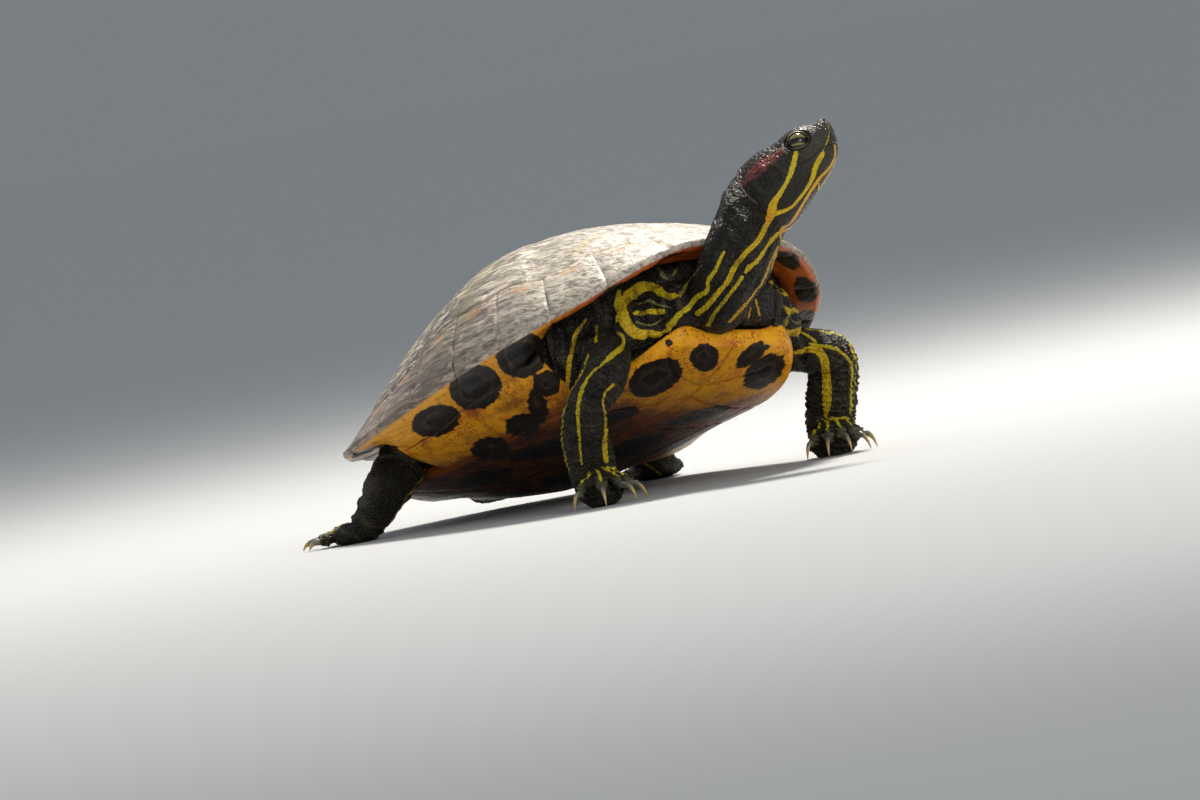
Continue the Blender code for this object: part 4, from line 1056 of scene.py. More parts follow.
def add_camera():
    right, up, back = picture_axes()
    data = bpy.data.cameras.new("camera")
    data.sensor_width = SENSOR_WIDTH
    data.lens = SENSOR_WIDTH * CAMERA_DISTANCE / (PICTURE_SIZE[0] / PIXELS_PER_MM)
    data.clip_end = CAMERA_REACH
    camera = bpy.data.objects.new("camera", data)
    place = (picture_middle() + back * CAMERA_DISTANCE - MODEL_MIDDLE) * MM
    axes = Matrix((right, up, back)).transposed().to_4x4()
    camera.matrix_world = Matrix.Translation(place) @ axes
    bpy.context.scene.collection.objects.link(camera)
    bpy.context.scene.camera = camera


def dress(obj, material, body, nodes):
    """Gives a piece its material and puts it in the place of the solids."""
    obj.data.materials.append(material)
    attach(obj, body)
    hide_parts(*nodes)


# Marks seen in the picture


def pixels_of(points):
    """Where points on the ground stand in the picture."""
    right, up, back = picture_axes()
    away = points - picture_middle()
    scale = CAMERA_DISTANCE / (CAMERA_DISTANCE - away @ back) * PIXELS_PER_MM
    return np.stack([away @ right * scale, -(away @ up) * scale], -1) + PICTURE_SIZE / 2


# Each blotch's middle, its two radii and its tilt in degrees: in pixels, or in plan for the last
SEEN_BLOTCHES = (
    ((654.8, 377.8), (29, 17), 25),
    ((704.6, 357.4), (14.5, 14), 0),
    ((751.8, 354.8), (19, 8.5), 38),
    ((764.5, 371.4), (24, 14), 35),
    ((668.9, 342.7), (3.8, 3.4), 0),
)
MIRRORED_BLOTCHES = (
    ((436, 421), (25, 15.5), 14),
    ((475.3, 387.2), (26.4, 22.5), 10),
    ((522, 355), (26, 23), 14),
    ((564.6, 326), (10.5, 11), 0),
    ((546.5, 384), (14, 13.5), 0),
    ((538, 406), (9.5, 18), 12),
    ((523.2, 425.5), (18.5, 11.5), 8),
    ((491, 449), (20, 12), 6),
)
PLAN_BLOTCHES = (
    ((34, 20), (13, 8.5), 20),
    ((-6, 21), (17, 11), -8),
    ((-44, 21), (12.5, 10), 12),
    ((-74, 15), (9, 7), 25),
)


MARGINAL_WIDTH = 14.0


def turned(offsets, degrees):
    turn = math.radians(degrees)
    x, y = offsets[:, 0], offsets[:, 1]
    return np.stack([x * math.cos(turn) + y * math.sin(turn), y * math.cos(turn) - x * math.sin(turn)], -1)


def blotch_field(points, tree):
    """Distance in millimetres outside the dark blotches of the shell's underside, below 0 inside them."""
    field = np.full(len(points), FAR)
    mirrored = points * (1, -1, 1)
    for blotches, sides in ((SEEN_BLOTCHES, (points,)), (MIRRORED_BLOTCHES, (points, mirrored))):
        for pixel, radii, tilt in blotches:
            centre = pixel_on(tree, pixel)
            if centre is None:
                continue
            radii = np.array(radii, float)
            for places in sides:
                ground = to_ground(places)
                near = np.linalg.norm(ground - centre, axis=1) < radii.max() / PIXELS_PER_MM * 2 + 2
                offsets = turned((pixels_of(ground[near]) - pixel) * (1, -1), tilt)
                outside = (np.linalg.norm(offsets / radii, axis=1) - 1) * radii.min() / PIXELS_PER_MM
                field[near] = np.minimum(field[near], outside)
    low = points[:, 2] < plastron_z(points[:, 0]) + 2.5
    for (x, y), radii, tilt in PLAN_BLOTCHES:
        for side in (-1, 1):
            offsets = turned((points[:, :2] - (x, side * y)) * (1, side), tilt)
            outside = (np.linalg.norm(offsets / np.array(radii, float), axis=1) - 1) * min(radii)
            field = np.where(low, np.minimum(field, outside), field)
    return field


def marginal_blotches(q, t):
    """Distance outside the dark spot under each marginal, where the picture shows none."""
    across = (t - np.round(t)) * MARGINAL_WIDTH
    along = (q - 1.42) * 11.0
    outside = (np.hypot(across / 5.5, along / 4.0) - 1) * 4.0
    shown = (q > 1.05) & ((t > 0.5) | (t < -8.5) | (np.abs(t) < 3.5))
    return np.where(shown, outside, FAR)


def read_attribute(obj, name):
    values = np.zeros(len(obj.data.vertices), np.float32)
    obj.data.attributes[name].data.foreach_get("value", values)
    return values.astype(float)


def mark_shell(carapace, plastron):
    """Gives both halves of the shell their dark blotches."""
    tree = join_trees(carapace, plastron)
    for obj in (carapace, plastron):
        field = blotch_field(to_shell(vertex_points(obj)), tree)
        if obj is carapace:
            q = read_attribute(obj, "q")
            under = np.minimum(field, marginal_blotches(q, read_attribute(obj, "t")))
            field = np.where(q > 1.0, under, field)
        set_attribute(obj, "blotch", field)


# The skin's forms

VOXEL = 0.36
TRIAL_VOXEL = 0.6
VOXEL_NOW = VOXEL
SKIN_COLUMNS = 72
LIMB_CAPS = (0.35, 0.7, 0.92)


def closed_tube(rings):
    """Points and faces of a closed tube through equal rings."""
    rows, columns = rings.shape[:2]
    points = np.concatenate([rings.reshape(-1, 3), [rings[0].mean(0), rings[-1].mean(0)]])
    last = rows * columns
    faces = [
        grid_faces(rows, columns, closed=True),
        fan_faces(0, columns, last, flip=True),
        fan_faces((rows - 1) * columns, columns, last + 1),
    ]
    return points, faces


def path_frame(path, steps):
    """A smooth path's points, with its directions carried along it without twist."""
    path = np.asarray(path, float)
    reach = reach_along(path)
    at = np.linspace(0, reach[-1], steps)
    centre = spline(reach, path, at)
    along = unit(np.gradient(centre, at, axis=0))
    side = unit(np.cross(UP, along[0]))
    sides = []
    for direction in along:
        side = unit(side - direction * (side @ direction))
        sides.append(side)
    sides = np.array(sides)
    return reach, at, centre, along, sides, np.cross(along, sides)


def round_turn(columns):
    """Angles once round, in equal steps."""
    return np.linspace(0, 2 * math.pi, columns, endpoint=False)


def limb(path, wide, tall, steps=60, columns=SKIN_COLUMNS):
    """A closed limb of oval sections with rounded ends."""
    reach, at, centre, along, side, over = path_frame(path, steps)
    half_wide, half_tall = spline(reach, wide, at), spline(reach, tall, at)
    turn = round_turn(columns)
    ring = np.cos(turn)[:, None] * side[:, None] * half_wide[:, None, None]
    ring = ring + np.sin(turn)[:, None] * over[:, None] * half_tall[:, None, None]
    caps = []
    for place, way in ((0, -1), (-1, 1)):
        for share in LIMB_CAPS:
            push = along[place] * way * half_tall[place] * 0.5 * share
            caps.append(centre[place] + ring[place] * math.sqrt(1 - share**2) + push)
    count = len(LIMB_CAPS)
    return closed_tube(np.concatenate([caps[:count][::-1], centre[:, None] + ring, caps[count:]]))


def ball(centre, radii, axes, rows=24, columns=36):
    """Points and faces of an ellipsoid with its radii along the three axes."""
    polar = np.linspace(0, math.pi, rows + 2)[1:-1]
    turn = round_turn(columns)
    flat = np.stack([np.cos(turn), np.sin(turn)], -1) * np.sin(polar)[:, None, None]
    height = np.broadcast_to(np.cos(polar)[:, None, None], (rows, columns, 1))
    local = np.concatenate([flat, height], -1) * np.asarray(radii, float)
    return closed_tube(np.asarray(centre, float) + local @ np.asarray(axes, float))


def head_axes():
    forward = unit(HEAD_FORWARD)
    left = unit(np.cross(HEAD_UP, forward))
    return np.array((forward, left, np.cross(forward, left)))


def head_to_ground(points):
    """Points given as forward, left and up of the eye line's midpoint, set on the ground."""
    return to_ground(np.asarray(points, float) @ head_axes() + HEAD_AT)


def ground_to_head(points):
    return (to_shell(points) - HEAD_AT) @ head_axes().T


def oval_angles():
    """Angles once round an oval, from its top."""
    return math.pi / 2 - np.arange(SKIN_COLUMNS) * 2 * math.pi / SKIN_COLUMNS


def head_ring(u):
    """The head's section at station u, an oval a little squarer than an ellipse."""
    top, bottom, half = (spline(HEAD_STATIONS, sizes, u) for sizes in (HEAD_TOP, HEAD_BOTTOM, HEAD_HALF))
    angles = oval_angles()
    x, y = np.cos(angles), np.sin(angles)
    v = -half * np.sign(x) * np.abs(x) ** HEAD_POWER
    w = (top + bottom) / 2 + (top - bottom) / 2 * np.sign(y) * np.abs(y) ** HEAD_POWER
    return np.stack([np.full_like(v, u), v, w], axis=-1)


NECK_STEPS = 70
NECK_OVER = (-0.5, -0.2, 0.8)
HEAD_STEPS = 90
JOIN_STEP = 0.8


def head_and_neck():
    """One tube from inside the shell up the neck to the snout, with its rings."""
    path = np.array(NECK_PATH, float)
    reach = reach_along(path)
    at = np.linspace(0, reach[-1], NECK_STEPS)
    centre = spline(reach, path, at)
    along = unit(np.gradient(centre, at, axis=0))
    lean = 0.7 * smooth_step(0.55, 1.0, at / reach[-1])[:, None]
    along = unit(mix(lean, along, head_axes()[0]))
    side = unit(np.cross(NECK_OVER, along))
    over = np.cross(along, side)
    wide, tall = spline(reach, NECK_WIDE, at), spline(reach, NECK_TALL, at)
    angles = oval_angles()
    across = -np.cos(angles)[:, None] * side[:, None] * wide[:, None, None]
    rings = centre[:, None] + across + np.sin(angles)[:, None] * over[:, None] * tall[:, None, None]
    rings[0] = centre[0] + (rings[0] - centre[0]) * 0.8
    stations = mix(np.linspace(0, 1, HEAD_STEPS) ** 0.9, HEAD_STATIONS[0], HEAD_STATIONS[-1])
    head = np.array([head_ring(u) @ head_axes() + HEAD_AT for u in stations])
    gap = np.linalg.norm(head[0].mean(0) - rings[-1].mean(0))
    shares = np.linspace(0, 1, max(3, int(gap / JOIN_STEP)) + 2)[1:-1]
    join = [mix(smooth_step(0, 1, share) * 0.3 + share * 0.7, rings[-1], head[0]) for share in shares]
    rings = to_ground(np.concatenate([rings, join, head]))
    return closed_tube(rings), rings


HEAD_POWER = 2 / 2.25
SKIN_ROUNDS = 6
JOINT_ROUNDS = 40

LEGS = {
    "foreleg_right": {
        "root": ((50, -32, -8), (62, -41, -9)),
        "path": ((72.4, -56, 46.2), (68.6, -64, 36), (64, -62.5, 26.8), (63, -61, 14.5), (65, -62, 7)),
        "wide": (8.5, 9.0, 8.3, 7.8, 9.3, 9.6, 8.8),
        "tall": (7.0, 8.0, 7.8, 7.4, 7.6, 7.2, 6.2),
        "foot": (67, -62.5, 5.2),
        "toes": (-84, -38, 2, 28, 50),
        "claw": (4.5, 6.5, 7.0, 6.5, 5.0),
        "knuckle": (10.5, 10.0),
        "arch": (0.96, 0.92, 0.66),
        "palm": (8.0, 9.0, 6.0),
    },
    "foreleg_left": {
        "root": ((48, 32, -8), (56, 42, -9)),
        "path": ((63, 53.5, 40), (66, 61.4, 35.3), (62.6, 62.6, 25), (59, 62.2, 14.8), (59.8, 60, 7.5)),
        "wide": (8.5, 9.0, 9.0, 9.5, 10.0, 10.6, 10.0),
        "tall": (7.0, 8.0, 8.4, 8.6, 8.4, 8.0, 7.0),
        "foot": (61, 59.5, 5.2),
        "toes": (-84, -50, -21, 9, 36),
        "claw": (4.5, 6.0, 6.5, 6.0, 5.0),
        "knuckle": (10.5, 10.0),
        "arch": (0.96, 0.92, 0.66),
        "palm": (8.4, 9.6, 6.0),
    },
    "hindleg_right": {
        "root": ((-38, -34, -10), (-50, -46, -12)),
        "path": ((-50, -58, 22), (-49, -66, 16), (-52, -70, 10), (-56, -73, 6.0)),
        "wide": (10.0, 11.0, 11.5, 11.0, 10.0, 9.0),
        "tall": (8.0, 9.0, 9.0, 8.0, 7.0, 5.5),
        "foot": (-58, -75, 3.6),
        "toes": (150, 172, 194, 216, 240),
        "claw": (5.0, 7.0, 7.5, 7.0, 4.5),
        "knuckle": (13.5, 3.3),
        "arch": (0.8, 1.08, 1.0),
        "palm": (12.5, 10.5, 4.4),
    },
    "hindleg_left": {
        "root": ((-38, 34, -10), (-51, 46.5, -12)),
        "path": ((-51, 57.5, 16.0), (-50.5, 64.5, 10.5), (-51, 69, 6.8), (-55, 73, 5.2)),
        "wide": (9.0, 10.0, 10.0, 10.0, 9.5, 9.0),
        "tall": (6.0, 6.5, 7.0, 6.4, 5.4, 4.8),
        "foot": (-57, 75, 3.6),
        "toes": (-150, -172, -194, -216, -240),
        "claw": (5.0, 7.0, 7.5, 7.0, 4.5),
        "knuckle": (13.5, 3.3),
        "arch": (0.8, 1.08, 1.0),
        "palm": (12.5, 10.5, 4.4),
    },
}
TOE_SHIFTS = (-0.4, 0.05, 0.3, 0.0, -0.25)
TOE_SHARES = (0.3, 0.68, 1.0)


def leg_path(spec):
    return np.concatenate([to_ground(spec["root"]), np.array(spec["path"], float)])


def toe_lines(spec):
    """For each toe its direction, the three points of its path, and how far its claw reaches."""
    centre = np.array(spec["foot"], float)
    reach, rise = spec["knuckle"]
    toes = []
    for angle, claw, shift in zip(spec["toes"], spec["claw"], TOE_SHIFTS):
        direction = np.array((math.cos(math.radians(angle)), math.sin(math.radians(angle)), 0))
        path = centre + direction * reach * np.array(TOE_SHARES)[:, None]
        path[:, 2] = np.array(spec["arch"]) * rise + shift
        toes.append((direction, path, claw))
    return toes


PALM_SHARE = (0.86, 0.94, 0.95)
TOE_WIDE = (2.3, 2.25, 1.95)
TOE_TALL = (2.4, 2.3, 1.9)


def leg_forms(spec):
    forms = [limb(leg_path(spec), spec["wide"], spec["tall"])]
    middle = math.radians(np.mean(spec["toes"]))
    ahead = np.array((math.cos(middle), math.sin(middle), 0))
    axes = (ahead, np.cross(UP, ahead), UP)
    forms.append(ball(spec["foot"], np.array(spec["palm"]) * PALM_SHARE, axes))
    for _, path, _ in toe_lines(spec):
        forms.append(limb(path, TOE_WIDE, TOE_TALL, steps=14, columns=24))
    return forms


TAIL_PATH = ((-66, 6, -12), (-80, 9, -15), (-91, 15, -19), (-94, 28, -18.5), (-88, 41, -17))
TAIL_RADII = (7.5, 6.6, 5.2, 3.6, 1.5)


def torso_form():
    """The body between the two halves of the shell, seen at the front and rear openings."""
    t = np.linspace(-LAST_SEAM, LAST_SEAM, 261)[:-1]
    share = bridge_share(t)
    lip = lip_share(t) - mix(share, 2.2, 1.2) / 80
    lip_z = shell_point(t, 2.0)[:, 2]
    spoke = rim(t)[:, :2] - (DOME_CENTRE_X, 0)

    def ring(r, z):
        plan = spoke * np.broadcast_to(r, t.shape)[:, None] + (DOME_CENTRE_X, 0)
        return np.concatenate([plan, np.broadcast_to(z, t.shape)[:, None]], axis=-1)

    low = PLASTRON_THICKNESS + 0.5
    rings = [cavity_ring(t, part) - (0, 0, 0.6) for part in (0.5, 0.80, 0.97)]
    floor = plastron_z(rings[-1][:, 0] * 0.9) + low
    rings.append(ring(lip, lip_z + 1.0))
    rings.append(ring(lip * mix(share, 1.0, 0.86), mix(0.5, lip_z, floor)))
    rings.append(ring(lip * mix(share, 0.93, 0.70), floor))
    rings.append(ring(lip * 0.45, plastron_z(rings[-1][:, 0] * 0.5) + low))
    return closed_tube(to_ground(np.array(rings)))


HIDDEN_FRONT = 36.0
HIDDEN_REAR = -34.0
HIDDEN_HALF = 70


def remeshed(forms, voxel):
    """Points and four-cornered faces of one surface round all the forms."""
    raw = mesh_object("raw_skin", *gathered(forms))
    change = raw.modifiers.new("one", "REMESH")
    change.mode = "VOXEL"
    change.voxel_size = voxel * MM
    graph = bpy.context.evaluated_depsgraph_get()
    mesh = raw.evaluated_get(graph).to_mesh()
    found = np.zeros(len(mesh.vertices) * 3, np.float32)
    mesh.vertices.foreach_get("co", found)
    corners = np.zeros(len(mesh.loops), np.int32)
    mesh.loops.foreach_get("vertex_index", corners)
    quads = corners.reshape(-1, 4)
    bpy.data.objects.remove(raw, do_unlink=True)
    return found.reshape(-1, 3).astype(float) / MM + MODEL_MIDDLE, quads


def drop_hidden(points, quads):
    """Leaves out the skin deep inside the shell, and closes the two cuts."""
    place = to_shell(points)
    inside = (place[:, 0] < HIDDEN_FRONT) & (place[:, 0] > HIDDEN_REAR)
    inside &= (np.abs(place[:, 1]) < HIDDEN_HALF) & (place[:, 2] > plastron_z(place[:, 0]) + 1.0)
    kept = quads[~inside[quads].all(axis=1)]
    used = np.unique(kept)
    renumber = np.full(len(points), -1)
    renumber[used] = np.arange(len(used))
    kept = renumber[kept]
    points = points[used]
    ways = np.concatenate([kept[:, (k, (k + 1) % 4)] for k in range(4)])
    count = len(points)
    keys = ways[:, 0].astype(np.int64) * count + ways[:, 1]
    back = ways[:, 1].astype(np.int64) * count + ways[:, 0]
    border = ways[~np.isin(keys, back)]
    caps = []
    place = to_shell(points)
    for front in (True, False):
        here = (place[border[:, 0], 0] > 0) == front
        centre = points[border[here, 0]].mean(0)
        caps.append(np.stack([border[here, 1], border[here, 0], np.full(here.sum(), len(points))], -1))
        points = np.concatenate([points, [centre]])
    return points, kept, caps


def edges_of(quads):
    ways = np.concatenate([quads[:, (k, (k + 1) % 4)] for k in range(4)])
    return np.unique(np.sort(ways, axis=1), axis=0)


def smoothed(points, edges, rounds, amount):
    """Each point drawn towards the middle of its neighbours."""
    count = len(points)
    sums = np.bincount(edges.ravel(), minlength=count)
    degree = np.maximum(sums, 1)
    for _ in range(rounds):
        pull = np.zeros_like(points)
        for axis in range(3):
            pull[:, axis] += np.bincount(edges[:, 0], points[edges[:, 1], axis], count)
            pull[:, axis] += np.bincount(edges[:, 1], points[edges[:, 0], axis], count)
        moved = pull / degree[:, None] - points
        moved[sums == 0] = 0
        points = points + moved * np.asarray(amount)[..., None]
    return points


JOINT_BALLS = (
    ((68, 30, -4), (15, 14, 11)),
    ((74, 20, -1), (17, 15, 11)),
    ((82, 10, 1), (13, 13, 10)),
    ((56, 40, -9), (13, 12, 9)),
    ((-62, 34, -8), (14, 14, 10)),
    ((-56, 44, -11), (12, 11, 8)),
)
JOINT_BLENDS = (((64, 36, -4), 26), ((84, 12, 0), 26), ((-58, 40, -10), 24), ((-72, 4, -13), 16))


def joint_forms():
    """Flesh that carries the neck and the legs over into the body, on both sides."""
    forms = []
    for (x, y, z), radii in JOINT_BALLS:
        for side in (-1, 1):
            forms.append(ball(to_ground((x, side * y, z)), radii, STANCE.T))
    return forms


def blended_joints(points, edges):
    """Smooths the skin a little all over, and much more where a limb joins the body."""
    place = to_shell(points)
    amount = np.zeros(len(points))
    for (x, y, z), reach in JOINT_BLENDS:
        far = np.minimum(*(np.linalg.norm(place - (x, side * y, z), axis=1) for side in (-1, 1)))
        amount = np.maximum(amount, 1 - smooth_step(reach * 0.6, reach, far))
    points = smoothed(points, edges, SKIN_ROUNDS, np.full(len(points), 0.5))
    rounds = int(JOINT_ROUNDS * (TRIAL_VOXEL / VOXEL_NOW) ** 2)
    return smoothed(points, edges, rounds, 0.6 * amount)


# Eyes, lids and claws

EYE_OUTWARDS = (0.24, 0.93, 0.28)
EYE_UPWARDS = (0.25, 0, 1.0)
CORNEA_BULGE = 0.16
CORNEA_WIDTH = 0.9
SOCKET_DEPTH = 0.9


def eye_axes(side):
    """Along the head, over it and out of it, for one eye."""
    outwards = unit(np.array(EYE_OUTWARDS) * (1, side, 1))
    along = unit(np.cross(outwards, EYE_UPWARDS) * side)
    return np.array((along, np.cross(outwards, along), outwards))


def eye_centre(side):
    return np.array((-EYE_BACK, side * EYE_SIDE, EYE_HEIGHT))


def eye_to_ground(points, side):
    return head_to_ground(np.asarray(points) @ eye_axes(side) + eye_centre(side))


def ground_to_eye(points, side):
    return (ground_to_head(points) - eye_centre(side)) @ eye_axes(side).T


def level_bar(side):
    """The turn of the iris's dark bar in the eye's own axes, which keeps it level with the ground."""
    up, low = ground_to_eye(np.array([UP, 0 * UP]), side)
    up = up - low
    return math.atan2(-up[0], up[1])


def build_eye(side, name):
    points, faces = ball((0, 0, 0), [EYE_RADIUS] * 3, np.eye(3), rows=60, columns=96)
    bulge = CORNEA_BULGE * np.exp(-(((EYE_RADIUS - points[:, 2]) / CORNEA_WIDTH) ** 2))
    eye = mesh_object(name, eye_to_ground(points * (1 + bulge[:, None] / EYE_RADIUS), side), faces)
    x, y, z = points.T
    turn = level_bar(side)
    level = (x * math.cos(turn) + y * math.sin(turn), y * math.cos(turn) - x * math.sin(turn), z)
    set_attribute(eye, "at", np.stack(level, -1))
    return eye


LID_ROWS = 40
LID_COLUMNS = 120
LID_OVAL = (5.6, 5.0)
LID_INSIDE = 1.5
# The lids' section: a share of the opening's size, and the height over the eyeball
LID_PROFILE = (
    (0.90, -0.30),
    (0.95, 0.10),
    (0.985, 0.42),
    (1.03, 0.62),
    (1.10, 0.66),
    (1.18, 0.52),
    (1.27, 0.36),
    (1.36, 0.30),
    (1.46, 0.14),
    (1.56, -0.25),
)


def build_lids(side, name):
    """The rim of the lids round the opening, thicker above, with a crease outside it."""
    turn = round_turn(LID_COLUMNS)
    stations = np.arange(len(LID_PROFILE))
    profile = spline(stations, LID_PROFILE, np.linspace(0, stations[-1], LID_ROWS))
    wide, rise = profile[:, :1], profile[:, 1:]
    x = EYE_OPENING[0] * wide * np.cos(turn)
    y = EYE_OPENING[1] * wide * np.sin(turn) * (1 + 0.05 * np.sin(turn))
    eyeball = np.sqrt(np.clip(EYE_RADIUS**2 - np.hypot(x, y) ** 2, 0.05, None))
    upper = 0.85 + 0.35 * np.clip(np.sin(turn), 0, 1) - 0.25 * np.abs(np.cos(turn)) ** 10
    z = eyeball + rise * upper + 0.06 * noise(np.stack([x, y, 0 * x], -1), 0.9, 61)
    socket = np.sqrt(np.clip(1 - (x / LID_OVAL[0]) ** 2 - (y / LID_OVAL[1]) ** 2, 0.02, None))
    z = mix(smooth_step(1.2, 1.56, wide), z, LID_RADIUS * socket - 0.15)
    grid = np.stack([x, y, z], -1)
    ring = np.concatenate([grid, grid[::-1] * (1, 1, 0.93)])
    rows, columns = ring.shape[:2]
    here = np.arange(columns)
    there = (here + 1) % columns
    last = (rows - 1) * columns
    joint = np.stack([last + here, last + there, there, here], -1)
    points = ring.reshape(-1, 3)
    lids = mesh_object(name, eye_to_ground(points, side), [grid_faces(rows, columns, closed=True), joint])
    set_attribute(lids, "at", points)
    edge = np.concatenate([wide.ravel(), np.full(LID_ROWS, LID_INSIDE)])
    set_attribute(lids, "edge", np.repeat(edge, columns))
    set_attribute(lids, "over", np.tile(np.sin(turn), rows))
    return lids


CLAW_SHARES = (-0.2, 0.1, 0.6, 1.0)
CLAW_RADII = (1.15, 1.2, 0.78, 0.14)
CLAW_TIP_HEIGHT = 0.45
CLAW_CLEARANCE = 0.05


def claw_line(knuckle, direction, reach, share):
    """A claw's middle line, which leaves its toe and curves down to the ground."""
    share = np.asarray(share, float)[:, None]
    over = knuckle + direction * reach * 0.8 + UP * 0.6
    tip = knuckle + direction * reach
    tip[2] = CLAW_TIP_HEIGHT
    return (1 - share) ** 2 * knuckle + 2 * share * (1 - share) * over + share**2 * tip


def claw_form(knuckle, direction, reach):
    """One claw's points and faces, and each point's share along it."""
    share = np.concatenate([np.linspace(CLAW_SHARES[0], 0.9, 24), np.linspace(0.92, 1.0, 6)])
    radius = spline(CLAW_SHARES, CLAW_RADII, share)
    centre = claw_line(knuckle, direction, reach, share)
    along = unit(np.gradient(centre, axis=0))
    side = unit(np.cross(UP, direction))
    turn = round_turn(20)
    across = (np.cos(turn) * 0.84)[:, None] * side
    over = (np.sin(turn) + 0.12 * np.cos(2 * turn))[None, :, None] * np.cross(along, side)[:, None]
    points, faces = closed_tube(centre[:, None] + (across[None] + over) * radius[:, None, None])
    return points, faces, np.concatenate([np.repeat(share, len(turn)), [CLAW_SHARES[0], CLAW_SHARES[-1]]])


def build_claws():
    forms = []
    for spec in LEGS.values():
        for direction, path, reach in toe_lines(spec):
            forms.append(claw_form(path[-1] + direction * 0.6, direction, reach))
    points, faces = gathered([form[:2] for form in forms])
    points[:, 2] = np.maximum(points[:, 2], CLAW_CLEARANCE)
    claws = mesh_object("claws", points, faces)
    set_attribute(claws, "at", points)
    set_attribute(claws, "share", np.concatenate([form[2] for form in forms]))
    return claws


def open_eyes(points):
    """Sinks the skin behind each eyeball where the lids part, so that the ball shows in the opening."""
    for side in (-1, 1):
        local = ground_to_eye(points, side)
        wide = np.hypot(local[:, 0] / EYE_OPENING[0], local[:, 1] / EYE_OPENING[1])
        near = (local[:, 2] > 0) & (wide < 1.5)
        radius = np.hypot(local[:, 0], local[:, 1])
        floor = np.sqrt(np.clip(EYE_RADIUS**2 - radius**2, 0, None)) - SOCKET_DEPTH
        sunk = mix(smooth_step(1.0, 1.35, wide), floor, local[:, 2])
        local[near, 2] = np.minimum(local[near, 2], sunk[near])
        points = np.where(near[:, None], eye_to_ground(local, side), points)
    return points


# Colours of the eyes, the lids and the claws
IRIS_OLIVE = (0.080, 0.072, 0.022)
IRIS_GREEN = (0.19, 0.165, 0.058)
IRIS_SHADE = (0.016, 0.013, 0.007)
IRIS_GOLD = (0.22, 0.175, 0.035)
PUPIL_BLACK = (0.004, 0.004, 0.003)
EYE_EDGE_SHADOW = (0.004, 0.003, 0.003)
LID_HIGHLIGHT_OCHRE = (0.40, 0.35, 0.20)
LID_HIGHLIGHT_PALE = (0.62, 0.57, 0.40)
LID_BLACK = (0.016, 0.014, 0.010)
LID_GREY = (0.050, 0.045, 0.034)
LID_GAP_SHADOW = (0.006, 0.005, 0.004)
CLAW_GREY = (0.065, 0.066, 0.050)
CLAW_PALE_GREY = (0.155, 0.155, 0.115)
CLAW_BROWN = (0.36, 0.22, 0.055)
CLAW_YELLOW = (0.52, 0.36, 0.11)


def eye_material():
    paint = Paint("eye_gloss", Specular_IOR_Level=0.3, Coat_Weight=0.22, Coat_Roughness=0.03)
    x, y, _ = paint.axes()
    fibres = paint.noise(0.35, 4)
    paint.colour = paint.blend(paint.step(fibres, 0.35, 0.7), IRIS_OLIVE, IRIS_GREEN)
    paint.cover(paint.step(y, -1.0, -0.6, 1.0, 0.0), IRIS_SHADE)
    paint.cover(paint.step(paint.size(paint.plus(y, 1.8)), 0.22, 0.5, 0.9, 0.0), IRIS_GOLD)
    bar = paint.plus(paint.size(paint.plus(y, 0.22)), paint.times(fibres, 0.2))
    paint.cover(paint.step(bar, 0.76, 0.96, 1.0, 0.0), PUPIL_BLACK)
    wide, tall = paint.times(x, 1 / 3.75), paint.times(y, 1 / 2.8)
    out = paint.math("SQRT", paint.plus(paint.times(wide, wide), paint.times(tall, tall)))
    # Painted shadow: black round the iris, where the lids meet the ball
    paint.cover(paint.step(out, 0.80, 0.95), EYE_EDGE_SHADOW)
    return paint.finish(0.12)


def lid_material():
    paint = Paint("lid_skin", Specular_IOR_Level=0.5, Coat_Weight=0.15, Coat_Roughness=0.25)
    edge = paint.uneven("edge", 0.8, 3, 0.08)
    dark = paint.blend(paint.noise(0.5, 4), LID_BLACK, LID_GREY)
    # Painted shadow: near-black on the lids' inner lip against the ball
    paint.colour = paint.blend(paint.step(edge, 0.98, 1.02), LID_GAP_SHADOW, dark)
    # Painted highlight: the lids' rim pale along the top of the opening, faint below
    rim = paint.times(paint.step(edge, 1.00, 1.05), paint.step(edge, 1.15, 1.24, 1.0, 0.0))
    upper_highlight = paint.step(paint.attribute("over"), 0.0, 0.5, 0.12, 1.0)
    paint.cover(paint.times(rim, upper_highlight), paint.blend(paint.noise(0.7, 4), LID_HIGHLIGHT_OCHRE, LID_HIGHLIGHT_PALE))
    paint.bump(paint.noise(0.35, 4), 0.5, 0.08)
    return paint.finish(0.38)


def claw_material():
    paint = Paint("claw_horn", Specular_IOR_Level=0.5, Coat_Weight=0.3, Coat_Roughness=0.2)
    paint.colour = paint.blend(paint.noise(0.8, 4, stretch=(1, 1, 3)), CLAW_GREY, CLAW_PALE_GREY)
    tip = paint.blend(paint.noise(1.0, 3), CLAW_BROWN, CLAW_YELLOW)
    paint.cover(paint.step(paint.uneven("share", 1.5, 3, 0.3), 0.35, 0.75), tip)
    paint.bump(paint.noise(0.3, 4), 0.4, 0.06)
    return paint.finish(0.34)


# The skin's relief and markings


